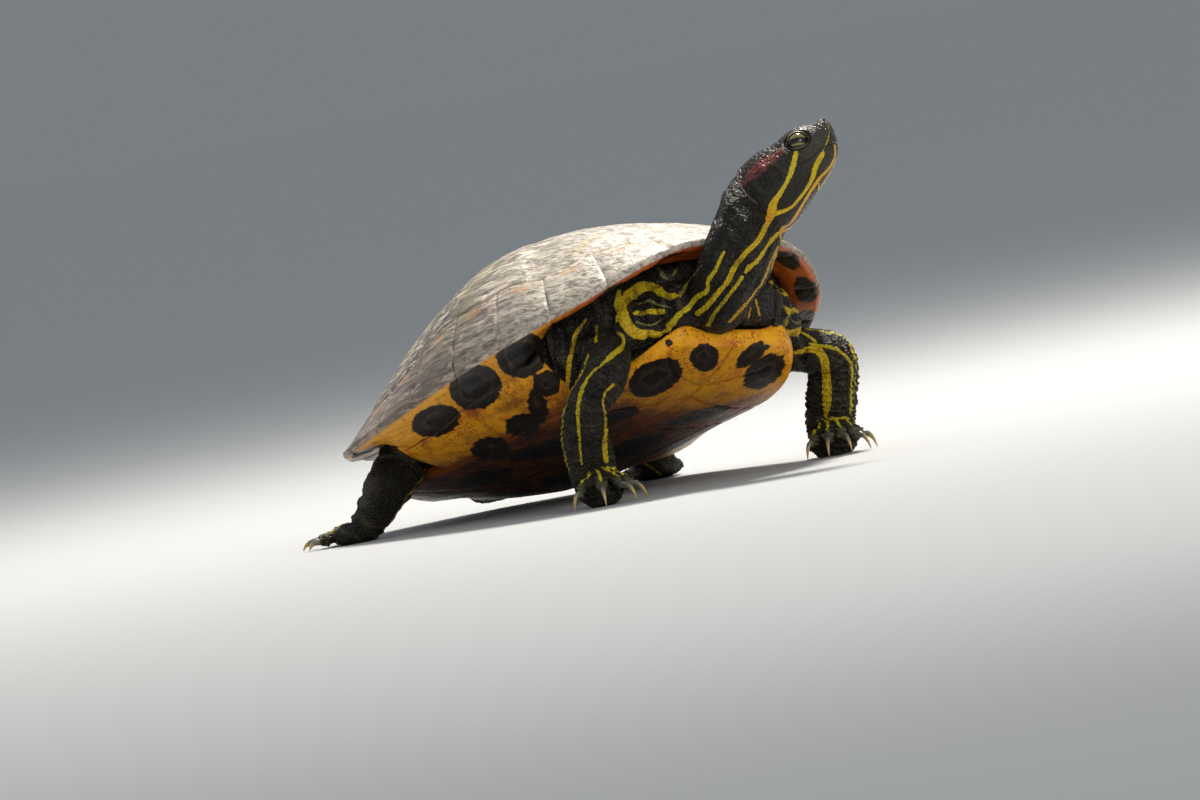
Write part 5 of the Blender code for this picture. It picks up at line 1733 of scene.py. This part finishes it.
# Each stripe's pixels, its widths along it in pixels, and its hue where it starts and ends
HEAD_STRIPES = (
    (
        ((796, 153), (793, 166), (790, 175), (784, 187), (779, 195), (773, 205), (772, 212)),
        (4.6, 5.4, 3.6, 5.4, 9.5), 0.0, 0.35,
    ),
    (
        (
            (822.6, 154), (816, 166), (812.6, 178), (806.5, 189), (799, 199), (791, 207.5), (784, 211),
            (774, 214),
        ),
        (4.8, 5.4, 4.2, 3.6, 5.0), 0.1, 0.4,
    ),
    (
        (
            (835, 146), (835, 157), (829, 168.5), (820, 178), (811, 191), (805, 201), (797, 214),
            (790, 224), (784, 228),
        ),
        (3.8, 4.4, 5.0, 5.4, 4.6), 0.5, 0.6,
    ),
    (((818, 181.5), (819, 188), (816, 195)), (2.0, 2.0, 1.2), 0.3, 0.4),
    (((828, 124), (829, 134), (826, 144), (822.6, 152)), (0.9, 1.1, 1.3), -0.3, 0.0),
    (((772, 211), (770, 217), (767, 224)), (9.5, 8.0, 6.0), 0.7, 0.6),
)
NECK_STRIPES = (
    (
        (
            (724, 252), (716, 269), (708, 282), (707, 290), (696, 298), (690, 306), (680, 314),
            (668, 326),
        ),
        (3.0, 4.2, 5.0, 5.4, 4.4), 0.1, 0.0,
    ),
    (
        (
            (767, 224), (759, 239), (744, 255), (733, 270), (728, 281), (718, 293), (705, 308),
            (697, 314),
        ),
        (6.0, 5.0, 5.4, 5.0, 5.6), 0.35, 0.2,
    ),
    (((784, 227), (772, 240), (760, 257), (748, 270)), (4.8, 4.6, 5.0, 4.4), 0.4, 0.3),
    (((742, 277), (733, 290), (724, 302), (715, 314), (708, 326)), (3.4, 3.8, 4.0, 4.4), 0.1, 0.0),
    (
        ((779, 247), (771, 264), (764, 280), (753, 295), (742, 308), (731, 321)),
        (6.2, 7.4, 7.2, 7.4, 7.0), 0.55, 0.5,
    ),
    (((763, 252), (757, 262)), (4.0, 4.6), 0.2, 0.2),
    (((749, 266), (746, 272)), (3.6, 3.6), 0.2, 0.2),
    (((751, 308), (748, 318)), (2.0, 2.2), 0.5, 0.5),
    (((756, 300), (760, 316)), (2.0, 2.0), 0.5, 0.5),
)
SHOULDER_STRIPES = (
    (((702, 265), (692, 277), (684, 288), (680, 294)), (1.4, 2.0, 2.6, 5.0), -0.6, -0.2),
    (
        ((679, 295.5), (671, 296), (664, 294), (654, 287.5), (644, 286.5), (634, 292)),
        (5.0, 7.4, 9.0, 9.4, 12.0, 12.0), 0.1, 0.2,
    ),
    (
        ((634, 292), (625, 299), (621, 308), (623, 317), (628, 326), (636, 333), (647.5, 334.5)),
        (12.0, 13.0, 14.0, 12.4, 11.4, 11.4, 10.4), 0.2, 0.3,
    ),
    (((619, 291), (618, 304), (617, 320)), (4.0, 8.0, 4.0), 0.0, 0.1),
    (
        ((647.5, 334.5), (657.6, 334.5), (667, 331), (672.8, 324.2), (677.8, 315.8), (688, 307.3)),
        (10.4, 7.0, 5.0, 5.4, 5.6, 3.0), 0.3, 0.1,
    ),
    (
        ((635, 312.8), (642, 312), (648, 311.5), (655, 312), (663, 311.5)),
        (4.8, 6.0, 5.0, 6.2, 5.0), 0.0, 0.0,
    ),
    (((637, 304), (647.5, 301), (661, 305.5), (670, 307)), (2.2, 3.0, 2.4, 1.2), -0.6, -0.6),
    (((636, 322), (651, 325), (664, 319)), (1.6, 2.0, 1.4), -0.7, -0.7),
    (((617, 331), (624, 339), (622, 348), (617, 352)), (2.6, 3.6, 3.8, 5.0), -0.2, 0.0),
    (((596, 326), (596, 342)), (3.8, 3.4), -0.2, 0.0),
    (
        ((585.5, 320), (577, 331), (572, 348), (569, 368), (567, 390)),
        (2.4, 4.4, 5.0, 5.0, 4.0), 0.3, 0.3,
    ),
    (((659, 268), (661, 273), (667, 279)), (2.6, 4.0, 2.6), -0.6, -0.5),
    (((676, 270), (673, 275)), (3.4, 3.0), -0.7, -0.7),
)
FORELEG_STRIPES = (
    (
        (
            (622, 345), (612, 356), (604, 363), (593, 372), (584, 385), (580, 398), (578, 415),
            (579, 431), (580, 447), (582, 464),
        ),
        (3.0, 5.6, 2.2, 3.6, 4.4, 4.0, 3.6, 3.0, 2.4, 2.0), 0.1, 0.0,
    ),
    (
        ((613, 385), (606, 392), (603, 403), (605, 415), (606, 434.5), (605, 449), (606, 461)),
        (3.2, 2.6, 2.4, 5.6, 7.4, 7.0, 4.6), 0.3, 0.25,
    ),
    (
        (
            (795, 353), (807, 350), (817, 350), (823, 357), (826, 372), (827, 391), (827, 406),
            (826, 416),
        ),
        (3.4, 6.2, 8.2, 8.2, 9.4, 10.4, 8.6, 4.0), 0.35, 0.2,
    ),
    (((843, 336), (851, 350), (855, 365), (855, 383), (853, 398)), (3.0, 3.6, 3.0, 2.4, 1.8), 0.0, 0.0),
)
RED_PATCH = (((779, 152), (770, 159), (758, 168), (748, 177), (742, 184)), (8.0, 13.0, 15.0, 12.0, 6.0))
PALE_LINES = (
    (((783, 143), (782, 147), (784, 151), (787, 153)), (1.6, 2.4, 2.6, 1.6)),
    (((737, 173), (738, 180), (742, 188), (749, 197), (757, 203)), (2.6, 2.4, 1.2, 0.8, 0.5)),
)


LINE_STEP = 1.0
JUMP = 4.0
MARK_REACH = 7


def cast_marks(tree, marks):
    """Marks given by pixels, laid on the skin as lines with a half width and a hue at each point."""
    laid = []
    for pixels, widths, *hues in marks:
        hues = hues or (0.0, 0.0)
        places, shares = line_on(tree, pixels, LINE_STEP)
        if len(places) < 2:
            continue
        jumps = np.linalg.norm(np.diff(places, axis=0), axis=1) > JUMP
        cuts = np.concatenate([[0], np.nonzero(jumps)[0] + 1, [len(places)]])
        half = np.interp(shares, np.linspace(0, 1, len(widths)), widths) / 2 / PIXELS_PER_MM
        hue = mix(shares, *hues)
        for first, last in zip(cuts[:-1], cuts[1:]):
            if last - first > 1:
                laid.append((places[first:last], half[first:last], hue[first:last]))
    return laid


def mark_distance(points, laid):
    """Distance outside the nearest mark, below 0 inside it, and that mark's hue."""
    starts = np.concatenate([line[:-1] for line, _, _ in laid])
    ends = np.concatenate([line[1:] for line, _, _ in laid])
    half = np.concatenate([np.stack([h[:-1], h[1:]], -1) for _, h, _ in laid])
    hue = np.concatenate([h[:-1] for _, _, h in laid])
    tree = middle_tree(starts, ends)
    field = np.full(len(points), FAR)
    found_hue = np.zeros(len(points))
    near = [k for k, place in enumerate(points.tolist()) if tree.find(place)[2] < MARK_REACH]
    picked = np.array([[i for _, i, _ in tree.find_n(place, 5)] for place in points[near].tolist()])
    for choice in picked.T:
        u, distance = onto_segments(points[near], starts[choice], ends[choice])
        outside = distance - mix(u, half[choice, 0], half[choice, 1])
        closer = outside < field[near]
        field[near] = np.where(closer, outside, field[near])
        found_hue[near] = np.where(closer, hue[choice], found_hue[near])
    return field, found_hue


def on_skin(tree, places):
    """The skin's nearest points to some places."""
    return np.array([tree.find_nearest(Vector(place))[0] for place in np.asarray(places, float)])


def ring_axes(rings):
    """The left and upper directions of a tube's rings."""
    quarter = rings.shape[1] // 4
    side = unit(rings[:, quarter] - rings[:, 3 * quarter])
    return side, unit(rings[:, 0] - rings[:, 2 * quarter])


def mirrored_along(rings, places):
    """Places on the neck and head, carried over to the other side of their middle line."""
    centres = rings.mean(axis=1)
    side, _ = ring_axes(rings)
    rows = np.linalg.norm(places[:, None] - centres[None], axis=-1).argmin(axis=1)
    away = ((places - centres[rows]) * side[rows]).sum(-1)
    return places - 2 * away[:, None] * side[rows]


def mirrored_body(places):
    return to_ground(to_shell(places) * (1, -1, 1))


MIRROR_APART = 8.0
NECK_LIMIT = 15.0
LEG_LIMIT = 12.0
TAIL_LIMIT = 8.0
LIMB_SHARE = 1.6


def both_sides(tree, laid, mirror):
    """The marks and their mirror images, which stop short of the middle line."""
    found = list(laid)
    for line, half, hue in laid:
        image = mirror(line)
        apart = np.linalg.norm(image - line, axis=1) > MIRROR_APART
        cuts = np.flatnonzero(np.diff(apart.astype(int))) + 1
        for part in np.split(np.arange(len(line)), cuts):
            if len(part) > 2 and apart[part[0]]:
                found.append((on_skin(tree, image[part]), half[part], hue[part]))
    return found


def laid_line(tree, places, width, hue, step=1.0):
    """A thin mark through a few places, laid on the nearest skin."""
    places = np.asarray(places, float)
    reach = reach_along(places)
    at = np.linspace(0, reach[-1], max(3, int(reach[-1] / step)))
    line = on_skin(tree, spline(reach, places, at))
    taper = width / 2 * np.clip(np.minimum(at, reach[-1] - at) / 3 + 0.4, 0, 1)
    return line, taper, np.full(len(at), hue)


CHIN_LINE = ((9, 0, -14), (2, 0, -18), (-4, 0, -20))
CROWN_LINE = ((9, 0, 3), (0, 0, 6), (-12, 0, 5))
TOE_MARK_RISE = (3, 3.5, 2.6)
# Where the thin lines run round each leg, in radians
LEG_TURNS = {
    "foreleg_right": (-2.2, 2.4),
    "foreleg_left": (2.0, 2.9),
    "hindleg_right": (-1.1, -1.9, 2.0),
    "hindleg_left": (1.1, 1.9, -2.0),
}
RUMP_LINES = ((14, -6), (20, -5), (26, -4), (33, -3))


def quiet_marks(tree):
    """Thin marks of the species where the picture shows nothing: chin, crown, limbs, rump and tail."""
    marks = []
    for line, width, hue in ((CHIN_LINE, 1.7, 0.4), (CROWN_LINE, 0.9, 0.1)):
        marks.append(laid_line(tree, head_to_ground(line), width, hue))
    for name, spec in LEGS.items():
        _, _, centre, _, side, over = path_frame(leg_path(spec), 40)
        for turn in LEG_TURNS[name]:
            offset = (np.cos(turn) * side + np.sin(turn) * over) * 9.0
            marks.append(laid_line(tree, (centre + offset)[14:36], 1.3, 0.05))
    for side in (-1, 1):
        for y, z in RUMP_LINES:
            places = to_ground([(-84, side * y, z + 2), (-86, side * y, z - 8), (-80, side * y, z - 16)])
            marks.append(laid_line(tree, places, 1.3, 0.15))
        marks.append(laid_line(tree, to_ground(np.array(TAIL_PATH) + (0, 0, side * 6.0)), 1.2, 0.2))
    return marks


def toe_marks(tree):
    """A thin line over each toe and one on the foot behind it."""
    marks = []
    for spec in LEGS.values():
        wrist = np.array(spec["path"][-2], float)
        for _, path, _ in toe_lines(spec):
            over = path + UP * np.array(TOE_MARK_RISE)[:, None]
            back = mix(0.2, path[0], wrist)
            behind = np.array([back + UP * 3, mix(0.6, back, path[0]) + UP * 3.2])
            marks.append(laid_line(tree, over, 1.25, -0.05))
            marks.append(laid_line(tree, behind, 0.9, -0.1))
    return marks


def all_marks(tree, rings):
    """The yellow stripes, the red patch and the pale lines, laid on the skin."""

    def seen(marks, mirror):
        return both_sides(tree, cast_marks(tree, marks), mirror)

    def head_mirror(places):
        return mirrored_along(rings, places)

    stripes = seen(HEAD_STRIPES, head_mirror) + seen(NECK_STRIPES, head_mirror)
    stripes += seen(SHOULDER_STRIPES, mirrored_body)
    stripes += cast_marks(tree, FORELEG_STRIPES) + quiet_marks(tree) + toe_marks(tree)
    return stripes, seen([RED_PATCH], head_mirror), seen(PALE_LINES, head_mirror)


def tube_place(points, centres, along, side, over, reach, limit):
    """Place along a tube, round it and out from it for points near it, and their distance in limits."""
    found = np.zeros((len(points), 3))
    share = np.full(len(points), FAR)
    low, high = centres.min(0) - limit, centres.max(0) + limit
    near = np.nonzero(((points > low) & (points < high)).all(axis=1))[0]
    for chunk in np.array_split(near, max(1, len(near) // 20000)):
        away = points[chunk][:, None] - centres[None]
        rows = (away**2).sum(-1).argmin(axis=1)
        away = away[np.arange(len(chunk)), rows]
        x, y = (away * side[rows]).sum(-1), (away * over[rows]).sum(-1)
        out = np.hypot(x, y)
        found[chunk] = np.stack([reach[rows] + (away * along[rows]).sum(-1), np.arctan2(y, x), out], -1)
        share[chunk] = np.linalg.norm(away, axis=-1) / limit
    return found, share


def skin_places(points, rings):
    """For each point the nearest limb's number and the place along, round and out of that limb."""
    centres = rings.mean(axis=1)
    side, over = ring_axes(rings)
    along = np.cross(over, side)
    along *= np.sign((along * np.gradient(centres, axis=0)).sum(-1, keepdims=True))
    tubes = [(centres, along, side, over, reach_along(centres), NECK_LIMIT)]
    limbs = [(leg_path(spec), 60, LEG_LIMIT) for spec in LEGS.values()]
    for path, steps, limit in (*limbs, (to_ground(TAIL_PATH), 30, TAIL_LIMIT)):
        _, at, centre, along, side, over = path_frame(path, steps)
        tubes.append((centre, along, side, over, at, limit))
    best = np.full(len(points), LIMB_SHARE)
    owner = np.full(len(points), -1)
    place = np.zeros((len(points), 3))
    for number, tube in enumerate(tubes):
        found, share = tube_place(points, *tube)
        closer = share < best
        best[closer], owner[closer], place[closer] = share[closer], number, found[closer]
    return owner, place


HEAD_MOUTH = ((12.3, -8.0), (11.5, -8.2), (7, -8.0), (4.5, -8.5), (0.4, -9.3), (-5.1, -9.0), (-8.0, -8.5))
MOUTH_END = -3.6
TYMPANUM_AT = (-15.5, -7.5)
FORE_BANDS = 2.2
SCALE_SIZE = 1.25
NOSTRIL_AT = np.array((11.9, 1.4, 0.9))
NOSTRIL_SIZE = (1.2, 0.62, 0.62)
KNOB_RADIUS = 1.9


def scale_relief(flat, size, height):
    """Low domes of scattered scales, parted by fine grooves."""
    edge = cell_edges(flat, size, 77)
    return height * (smooth_step(0.0, 0.35, edge) - 0.6)


def head_share(owner, head):
    """1 on the head, fading to 0 over the nape."""
    return smooth_step(-27, -19, head[:, 0]) * (owner == 0)


def mouth_level(u):
    """The height of the mouth's line, u ahead of the eyes."""
    line = np.array(HEAD_MOUTH)[::-1]
    return np.interp(u, line[:, 0], line[:, 1])


def skin_relief(points, owner, place, head):
    """The height of scales and folds over the bare form, in millimetres."""
    s, angle, _ = place.T
    flat = np.stack([s, angle * 10.0, 0 * s], -1)
    body = to_shell(points)
    on_head = head_share(owner, head)
    neck = (owner == 0) * (1 - on_head)
    fore = (owner == 1) | (owner == 2)
    hind = (owner == 3) | (owner == 4)
    height = neck * scale_relief(flat * (1 / 1.5, 1, 1), 1.0, 0.24)
    height += neck * 0.36 * long_noise(flat, (10, 1.8, 1), 50)
    height += neck * 0.30 * long_noise(flat, (2.2, 7, 1), 51)
    height += smooth_step(26, 36, s) * fore * foreleg_bands(s, flat) * np.where(owner == 2, 1.0, 0.55)
    height += fore * scale_relief(flat, SCALE_SIZE, 0.26)
    height += fore * 0.40 * long_noise(flat, (2.6, 7, 1), 54)
    height += hind * (0.80 * long_noise(flat, (2.2, 8, 1), 55) + scale_relief(flat, 1.4, 0.28))
    tail = scale_relief(flat, 1.4, 0.15) + 0.15 * long_noise(flat, (1.5, 6, 1), 56)
    height += (owner == 5) * tail
    loose = (owner == -1) | ((owner > 0) & (s < 24))
    folds = 0.95 * long_noise(body, (2.6, 2.6, 15), 57) + 0.45 * long_noise(body, (1.3, 1.3, 7), 58)
    height += loose * (folds + scale_relief(body, 1.3, 0.22))
    height += on_head * head_relief(head)
    foot = smooth_step(12.0, 9.0, points[:, 2]) * (owner > 0)
    height += foot * scale_relief(points, 1.5, 0.24)
    return height * smooth_step(0.05, 0.9, points[:, 2])


def foreleg_bands(s, flat):
    """Broad scales across the lower foreleg, each one standing over the next."""
    ridge = (s + 0.7 * noise(flat, 5.0, 52)) / FORE_BANDS
    saw = ridge - np.floor(ridge)
    breaks = cell_edges(flat * (1 / FORE_BANDS, 1 / 3.6, 1), 1.0, 53)
    return 0.85 * (smooth_step(0, 0.8, saw) - smooth_step(0.85, 1.0, saw)) * smooth_step(0.0, 0.16, breaks)


def head_relief(head):
    """The mouth's groove, the beak's edge, the eardrum and the head's scales, in millimetres."""
    u, v, w = head.T
    over = w - mouth_level(u)
    groove = -0.38 * np.exp(-((over / 0.26) ** 2)) * smooth_step(MOUTH_END, MOUTH_END + 2.0, u)
    beak = 0.28 * smooth_step(0.1, 0.7, over) * smooth_step(3.0, 0.7, over) * smooth_step(-8, 2, u)
    ear = np.hypot((u - TYMPANUM_AT[0]) / 1.15, w - TYMPANUM_AT[1])
    drum = -0.25 * smooth_step(5.0, 3.6, ear) + 0.18 * np.exp(-(((ear - 5.0) / 0.8) ** 2))
    behind = smooth_step(-3, -7, u) * smooth_step(-12, -7, w)
    scales = scale_relief(np.stack([u, v * 0.6, w], -1), 1.7, 0.22) * behind
    pores = 0.05 * noise(head, 0.8, 60) + 0.10 * noise(head, 3.5, 62)
    nape = 0.35 * long_noise(head, (2.0, 8, 8), 63) * smooth_step(-20, -26, u)
    return groove + beak + drum + scales + pores + nape


def sink_nostrils(points, head):
    forward = head_to_ground([(1.0, 0, 0)]) - head_to_ground([(0, 0, 0.0)])
    for side in (-1, 1):
        away = np.linalg.norm((head - NOSTRIL_AT * (1, side, 1)) / NOSTRIL_SIZE, axis=1)
        points = points - np.exp(-(away**2))[:, None] * forward
    return points


# Colours of the skin and of its marks
STRIPE_YELLOW = (0.52, 0.40, 0.007)
STRIPE_ORANGE = (0.68, 0.30, 0.007)
STRIPE_OLIVE = (0.16, 0.16, 0.045)
STRIPE_OCHRE = (0.36, 0.25, 0.015)
STRIPE_GROOVE_SHADE = (0.12, 0.075, 0.008)
STRIPE_FOLD_SHADE = (0.10, 0.065, 0.006)
SKIN_BLACK = (0.0036, 0.0027, 0.0013)
SKIN_BROWN = (0.0105, 0.0080, 0.0038)
LIMB_BLACK = (0.0065, 0.0050, 0.0027)
LIMB_BROWN = (0.0190, 0.0150, 0.0082)
HEAD_OLIVE = (0.019, 0.0155, 0.0085)
FACE_OLIVE = (0.024, 0.0205, 0.0135)
FACE_PALE = (0.052, 0.045, 0.029)
SCALE_PAINTED_HIGHLIGHT = (0.072, 0.060, 0.036)
SCALE_GROOVE_SHADE = (0.005, 0.005, 0.004)
FOLD_PAINTED_SHADE = (0.0025, 0.0022, 0.0018)
RIDGE_PAINTED_HIGHLIGHT = (0.055, 0.045, 0.027)
PATCH_DARK = (0.080, 0.020, 0.017)
PATCH_RED = (0.36, 0.090, 0.080)
PATCH_GROOVE_SHADE = (0.07, 0.02, 0.016)
PALE_BUFF = (0.40, 0.31, 0.24)
TOE_OLIVE = (0.085, 0.080, 0.045)
GAPE_BLACK = (0.010, 0.008, 0.006)


def stripe_colour(paint, scales, rise):
    """Yellow, orange or olive by each stripe's hue, with painted shade between the scales and in the
    folds.
    """
    hue = paint.attribute("hue")
    yellow = paint.blend(paint.step(hue, 0.0, 0.8), STRIPE_YELLOW, STRIPE_ORANGE)
    yellow = paint.blend(paint.step(hue, -0.5, 0.0, 1.0, 0.0), yellow, STRIPE_OLIVE)
    yellow = paint.blend(paint.step(paint.noise(1.6, 4), 0.5, 0.8, 0.0, 0.5), yellow, STRIPE_OCHRE)
    # Painted shade in the grooves between the scales
    yellow = paint.blend(paint.step(scales, 0.0, 0.10, 0.45, 0.0), yellow, STRIPE_GROOVE_SHADE)
    # Painted shade in the folds of the relief
    return paint.blend(paint.step(rise, -0.5, -0.1, 0.7, 0.0), yellow, STRIPE_FOLD_SHADE)


def skin_material():
    paint = Paint("turtle_skin", Specular_IOR_Level=0.22)
    grain = paint.attribute("grain", "Vector")
    on_head, rise = paint.attribute("on_head"), paint.attribute("rise")
    scales = paint.cells(1.15, at=grain, stretch=(1.35, 1, 1))
    random = paint.cells(1.15, "F1", at=grain, stretch=(1.35, 1, 1), output="Color")
    dark = paint.blend(paint.noise(6, 4), SKIN_BLACK, SKIN_BROWN)
    arms = paint.blend(paint.noise(5, 4), LIMB_BLACK, LIMB_BROWN)
    paint.colour = paint.blend(paint.attribute("limb"), dark, arms)
    paint.cover(paint.times(on_head, 0.6), HEAD_OLIVE)
    paint.cover(paint.attribute("loreal"), paint.blend(paint.noise(3, 4), FACE_OLIVE, FACE_PALE))
    # Painted highlight: some scales made lighter in their middles
    light = paint.times(paint.step(scales, 0.03, 0.22), paint.step(random, 0.45, 0.85))
    paint.cover(paint.times(light, paint.step(on_head, 0.0, 1.0, 0.30, 0.15)), SCALE_PAINTED_HIGHLIGHT)
    # Painted shade in the grooves between the scales
    paint.cover(paint.step(scales, 0.0, 0.07, 0.6, 0.0), SCALE_GROOVE_SHADE)
    # Painted shade in the hollows of the relief, and painted highlight on its ridges
    paint.cover(paint.step(rise, -0.45, -0.02, 0.75, 0.0), FOLD_PAINTED_SHADE)
    paint.cover(paint.step(rise, 0.10, 0.60, 0.0, 0.55), RIDGE_PAINTED_HIGHLIGHT)
    edge = paint.uneven("stripe", 0.9, 4, 0.9)
    paint.cover(paint.step(edge, -0.16, 0.12, 1.0, 0.0), stripe_colour(paint, scales, rise))
    veins = paint.noise(0.8, 5, stretch=(4, 1, 1), at=grain)
    brick = paint.blend(paint.step(veins, 0.38, 0.66), PATCH_DARK, PATCH_RED)
    # Painted shade in the red patch's grooves between the scales
    brick = paint.blend(paint.step(scales, 0.0, 0.12, 0.7, 0.0), brick, PATCH_GROOVE_SHADE)
    paint.cover(paint.step(paint.uneven("red", 1.4, 5, 3.4), -2.4, 1.2, 0.9, 0.0), brick)
    paint.cover(paint.step(paint.uneven("pale", 0.8, 3, 0.5), -0.4, 0.35, 0.42, 0.0), PALE_BUFF)
    paint.cover(paint.step(paint.uneven("cap", 0.8, 3, 0.8, 0), 0.0, 0.8, 0.8, 0.0), TOE_OLIVE)
    paint.cover(paint.step(paint.attribute("gape"), 0.1, 0.35, 0.9, 0.0), GAPE_BLACK)
    fine = paint.times(paint.step(paint.cells(0.5, at=grain), 0.0, 0.3), 0.35)
    height = paint.plus(paint.step(scales, 0.0, 0.25), fine)
    height = paint.times(height, paint.step(on_head, 0.0, 1.0, 1.0, 0.3))
    paint.bump(paint.plus(height, paint.times(paint.noise(0.4, 4), 0.25)), 1.0, 0.30)
    return paint.finish(paint.step(paint.noise(2.0, 3), 0.3, 0.7, 0.24, 0.42))


def skin_forms(tube):
    """Every closed form that the skin is drawn round, the bulges of the eyes included."""
    forms = [tube, torso_form(), *joint_forms()]
    for spec in LEGS.values():
        forms += leg_forms(spec)
    forms.append(limb(to_ground(TAIL_PATH), TAIL_RADII, np.array(TAIL_RADII) * 0.9))
    radii = (LID_RADIUS + 0.2, LID_RADIUS - 0.3, LID_RADIUS)
    for side in (-1, 1):
        axes = eye_axes(side) @ head_axes() @ STANCE.T
        forms.append(ball(head_to_ground(eye_centre(side)), radii, axes))
    return forms


def surface_of(points, faces):
    """A surface's normals at its vertices, and a search tree over its faces."""
    bare = mesh_object("bare_skin", points, faces)
    normals, tree = vertex_normals(bare), join_trees(bare)
    bpy.data.objects.remove(bare, do_unlink=True)
    return normals, tree


def skin_grain(points, owner, place, head):
    """Where each point lies for the small scales: along and round its limb, or as it stands."""
    grain = np.stack([place[:, 0], place[:, 1] * 10.0, place[:, 2] * 0.2 + owner * 7.0], -1)
    loose = (owner == -1) | (points[:, 2] < 12)
    grain = np.where(loose[:, None], points, grain)
    return np.where((head_share(owner, head) > 0.5)[:, None], head, grain)


def knuckle_distance(points):
    """Distance outside the pale knob that carries each claw."""
    knuckles = [path[-1] + UP for spec in LEGS.values() for _, path, _ in toe_lines(spec)]
    far = np.min([np.linalg.norm(points - knuckle, axis=1) for knuckle in knuckles], axis=0)
    return far - KNOB_RADIUS


def build_skin():
    tube, rings = head_and_neck()
    points, quads = remeshed(skin_forms(tube), VOXEL_NOW)
    points, quads, caps = drop_hidden(points, quads)
    faces = [quads, *caps]
    points = blended_joints(points, edges_of(quads))
    points[:, 2] = np.maximum(points[:, 2], 0)
    normals, tree = surface_of(points, faces)
    stripes, red, pale = all_marks(tree, rings)
    stripe_field, hue = mark_distance(points, stripes)
    owner, place = skin_places(points, rings)
    head = ground_to_head(points)
    rise = skin_relief(points, owner, place, head)
    carved = open_eyes(sink_nostrils(points + normals * rise[:, None], head))
    carved[:, 2] = np.maximum(carved[:, 2], 0)
    skin = mesh_object("skin", carved, faces)
    on_head = head_share(owner, head)
    on_mouth = (on_head > 0.9) & (head[:, 0] > MOUTH_END)
    for name, values in (
        ("at", points),
        ("grain", skin_grain(points, owner, place, head)),
        ("stripe", stripe_field),
        ("hue", hue),
        ("red", mark_distance(points, red)[0]),
        ("pale", mark_distance(points, pale)[0]),
        ("on_head", on_head),
        ("loreal", on_head * smooth_step(-4, 3, head[:, 0]) * smooth_step(5.5, 2.5, head[:, 2])),
        ("limb", ((owner > 0) & (owner < 5)).astype(float)),
        ("cap", knuckle_distance(points)),
        ("gape", np.where(on_mouth, np.abs(head[:, 2] - mouth_level(head[:, 0])), FAR)),
        ("rise", rise),
    ):
        set_attribute(skin, name, values)
    return skin


# Everything together

FLESH = ("head", "neck", "torso", "tail", *LEGS)

carapace = build_carapace()
plastron = build_plastron()
mark_shell(carapace, plastron)
dress(carapace, carapace_material(), "root", ("carapace",))
dress(plastron, belly_material(), "root", ("plastron",))
skin = build_skin()
dress(skin, skin_material(), "root", FLESH)
for side, name in ((-1, "right"), (1, "left")):
    dress(build_eye(side, "eyeball_" + name), eye_material(), "root", ("eye_" + name,))
    dress(build_lids(side, "lids_" + name), lid_material(), "root", ("head",))
dress(build_claws(), claw_material(), "root", tuple(LEGS))
add_floor()
add_world()
add_lamps()
add_camera()
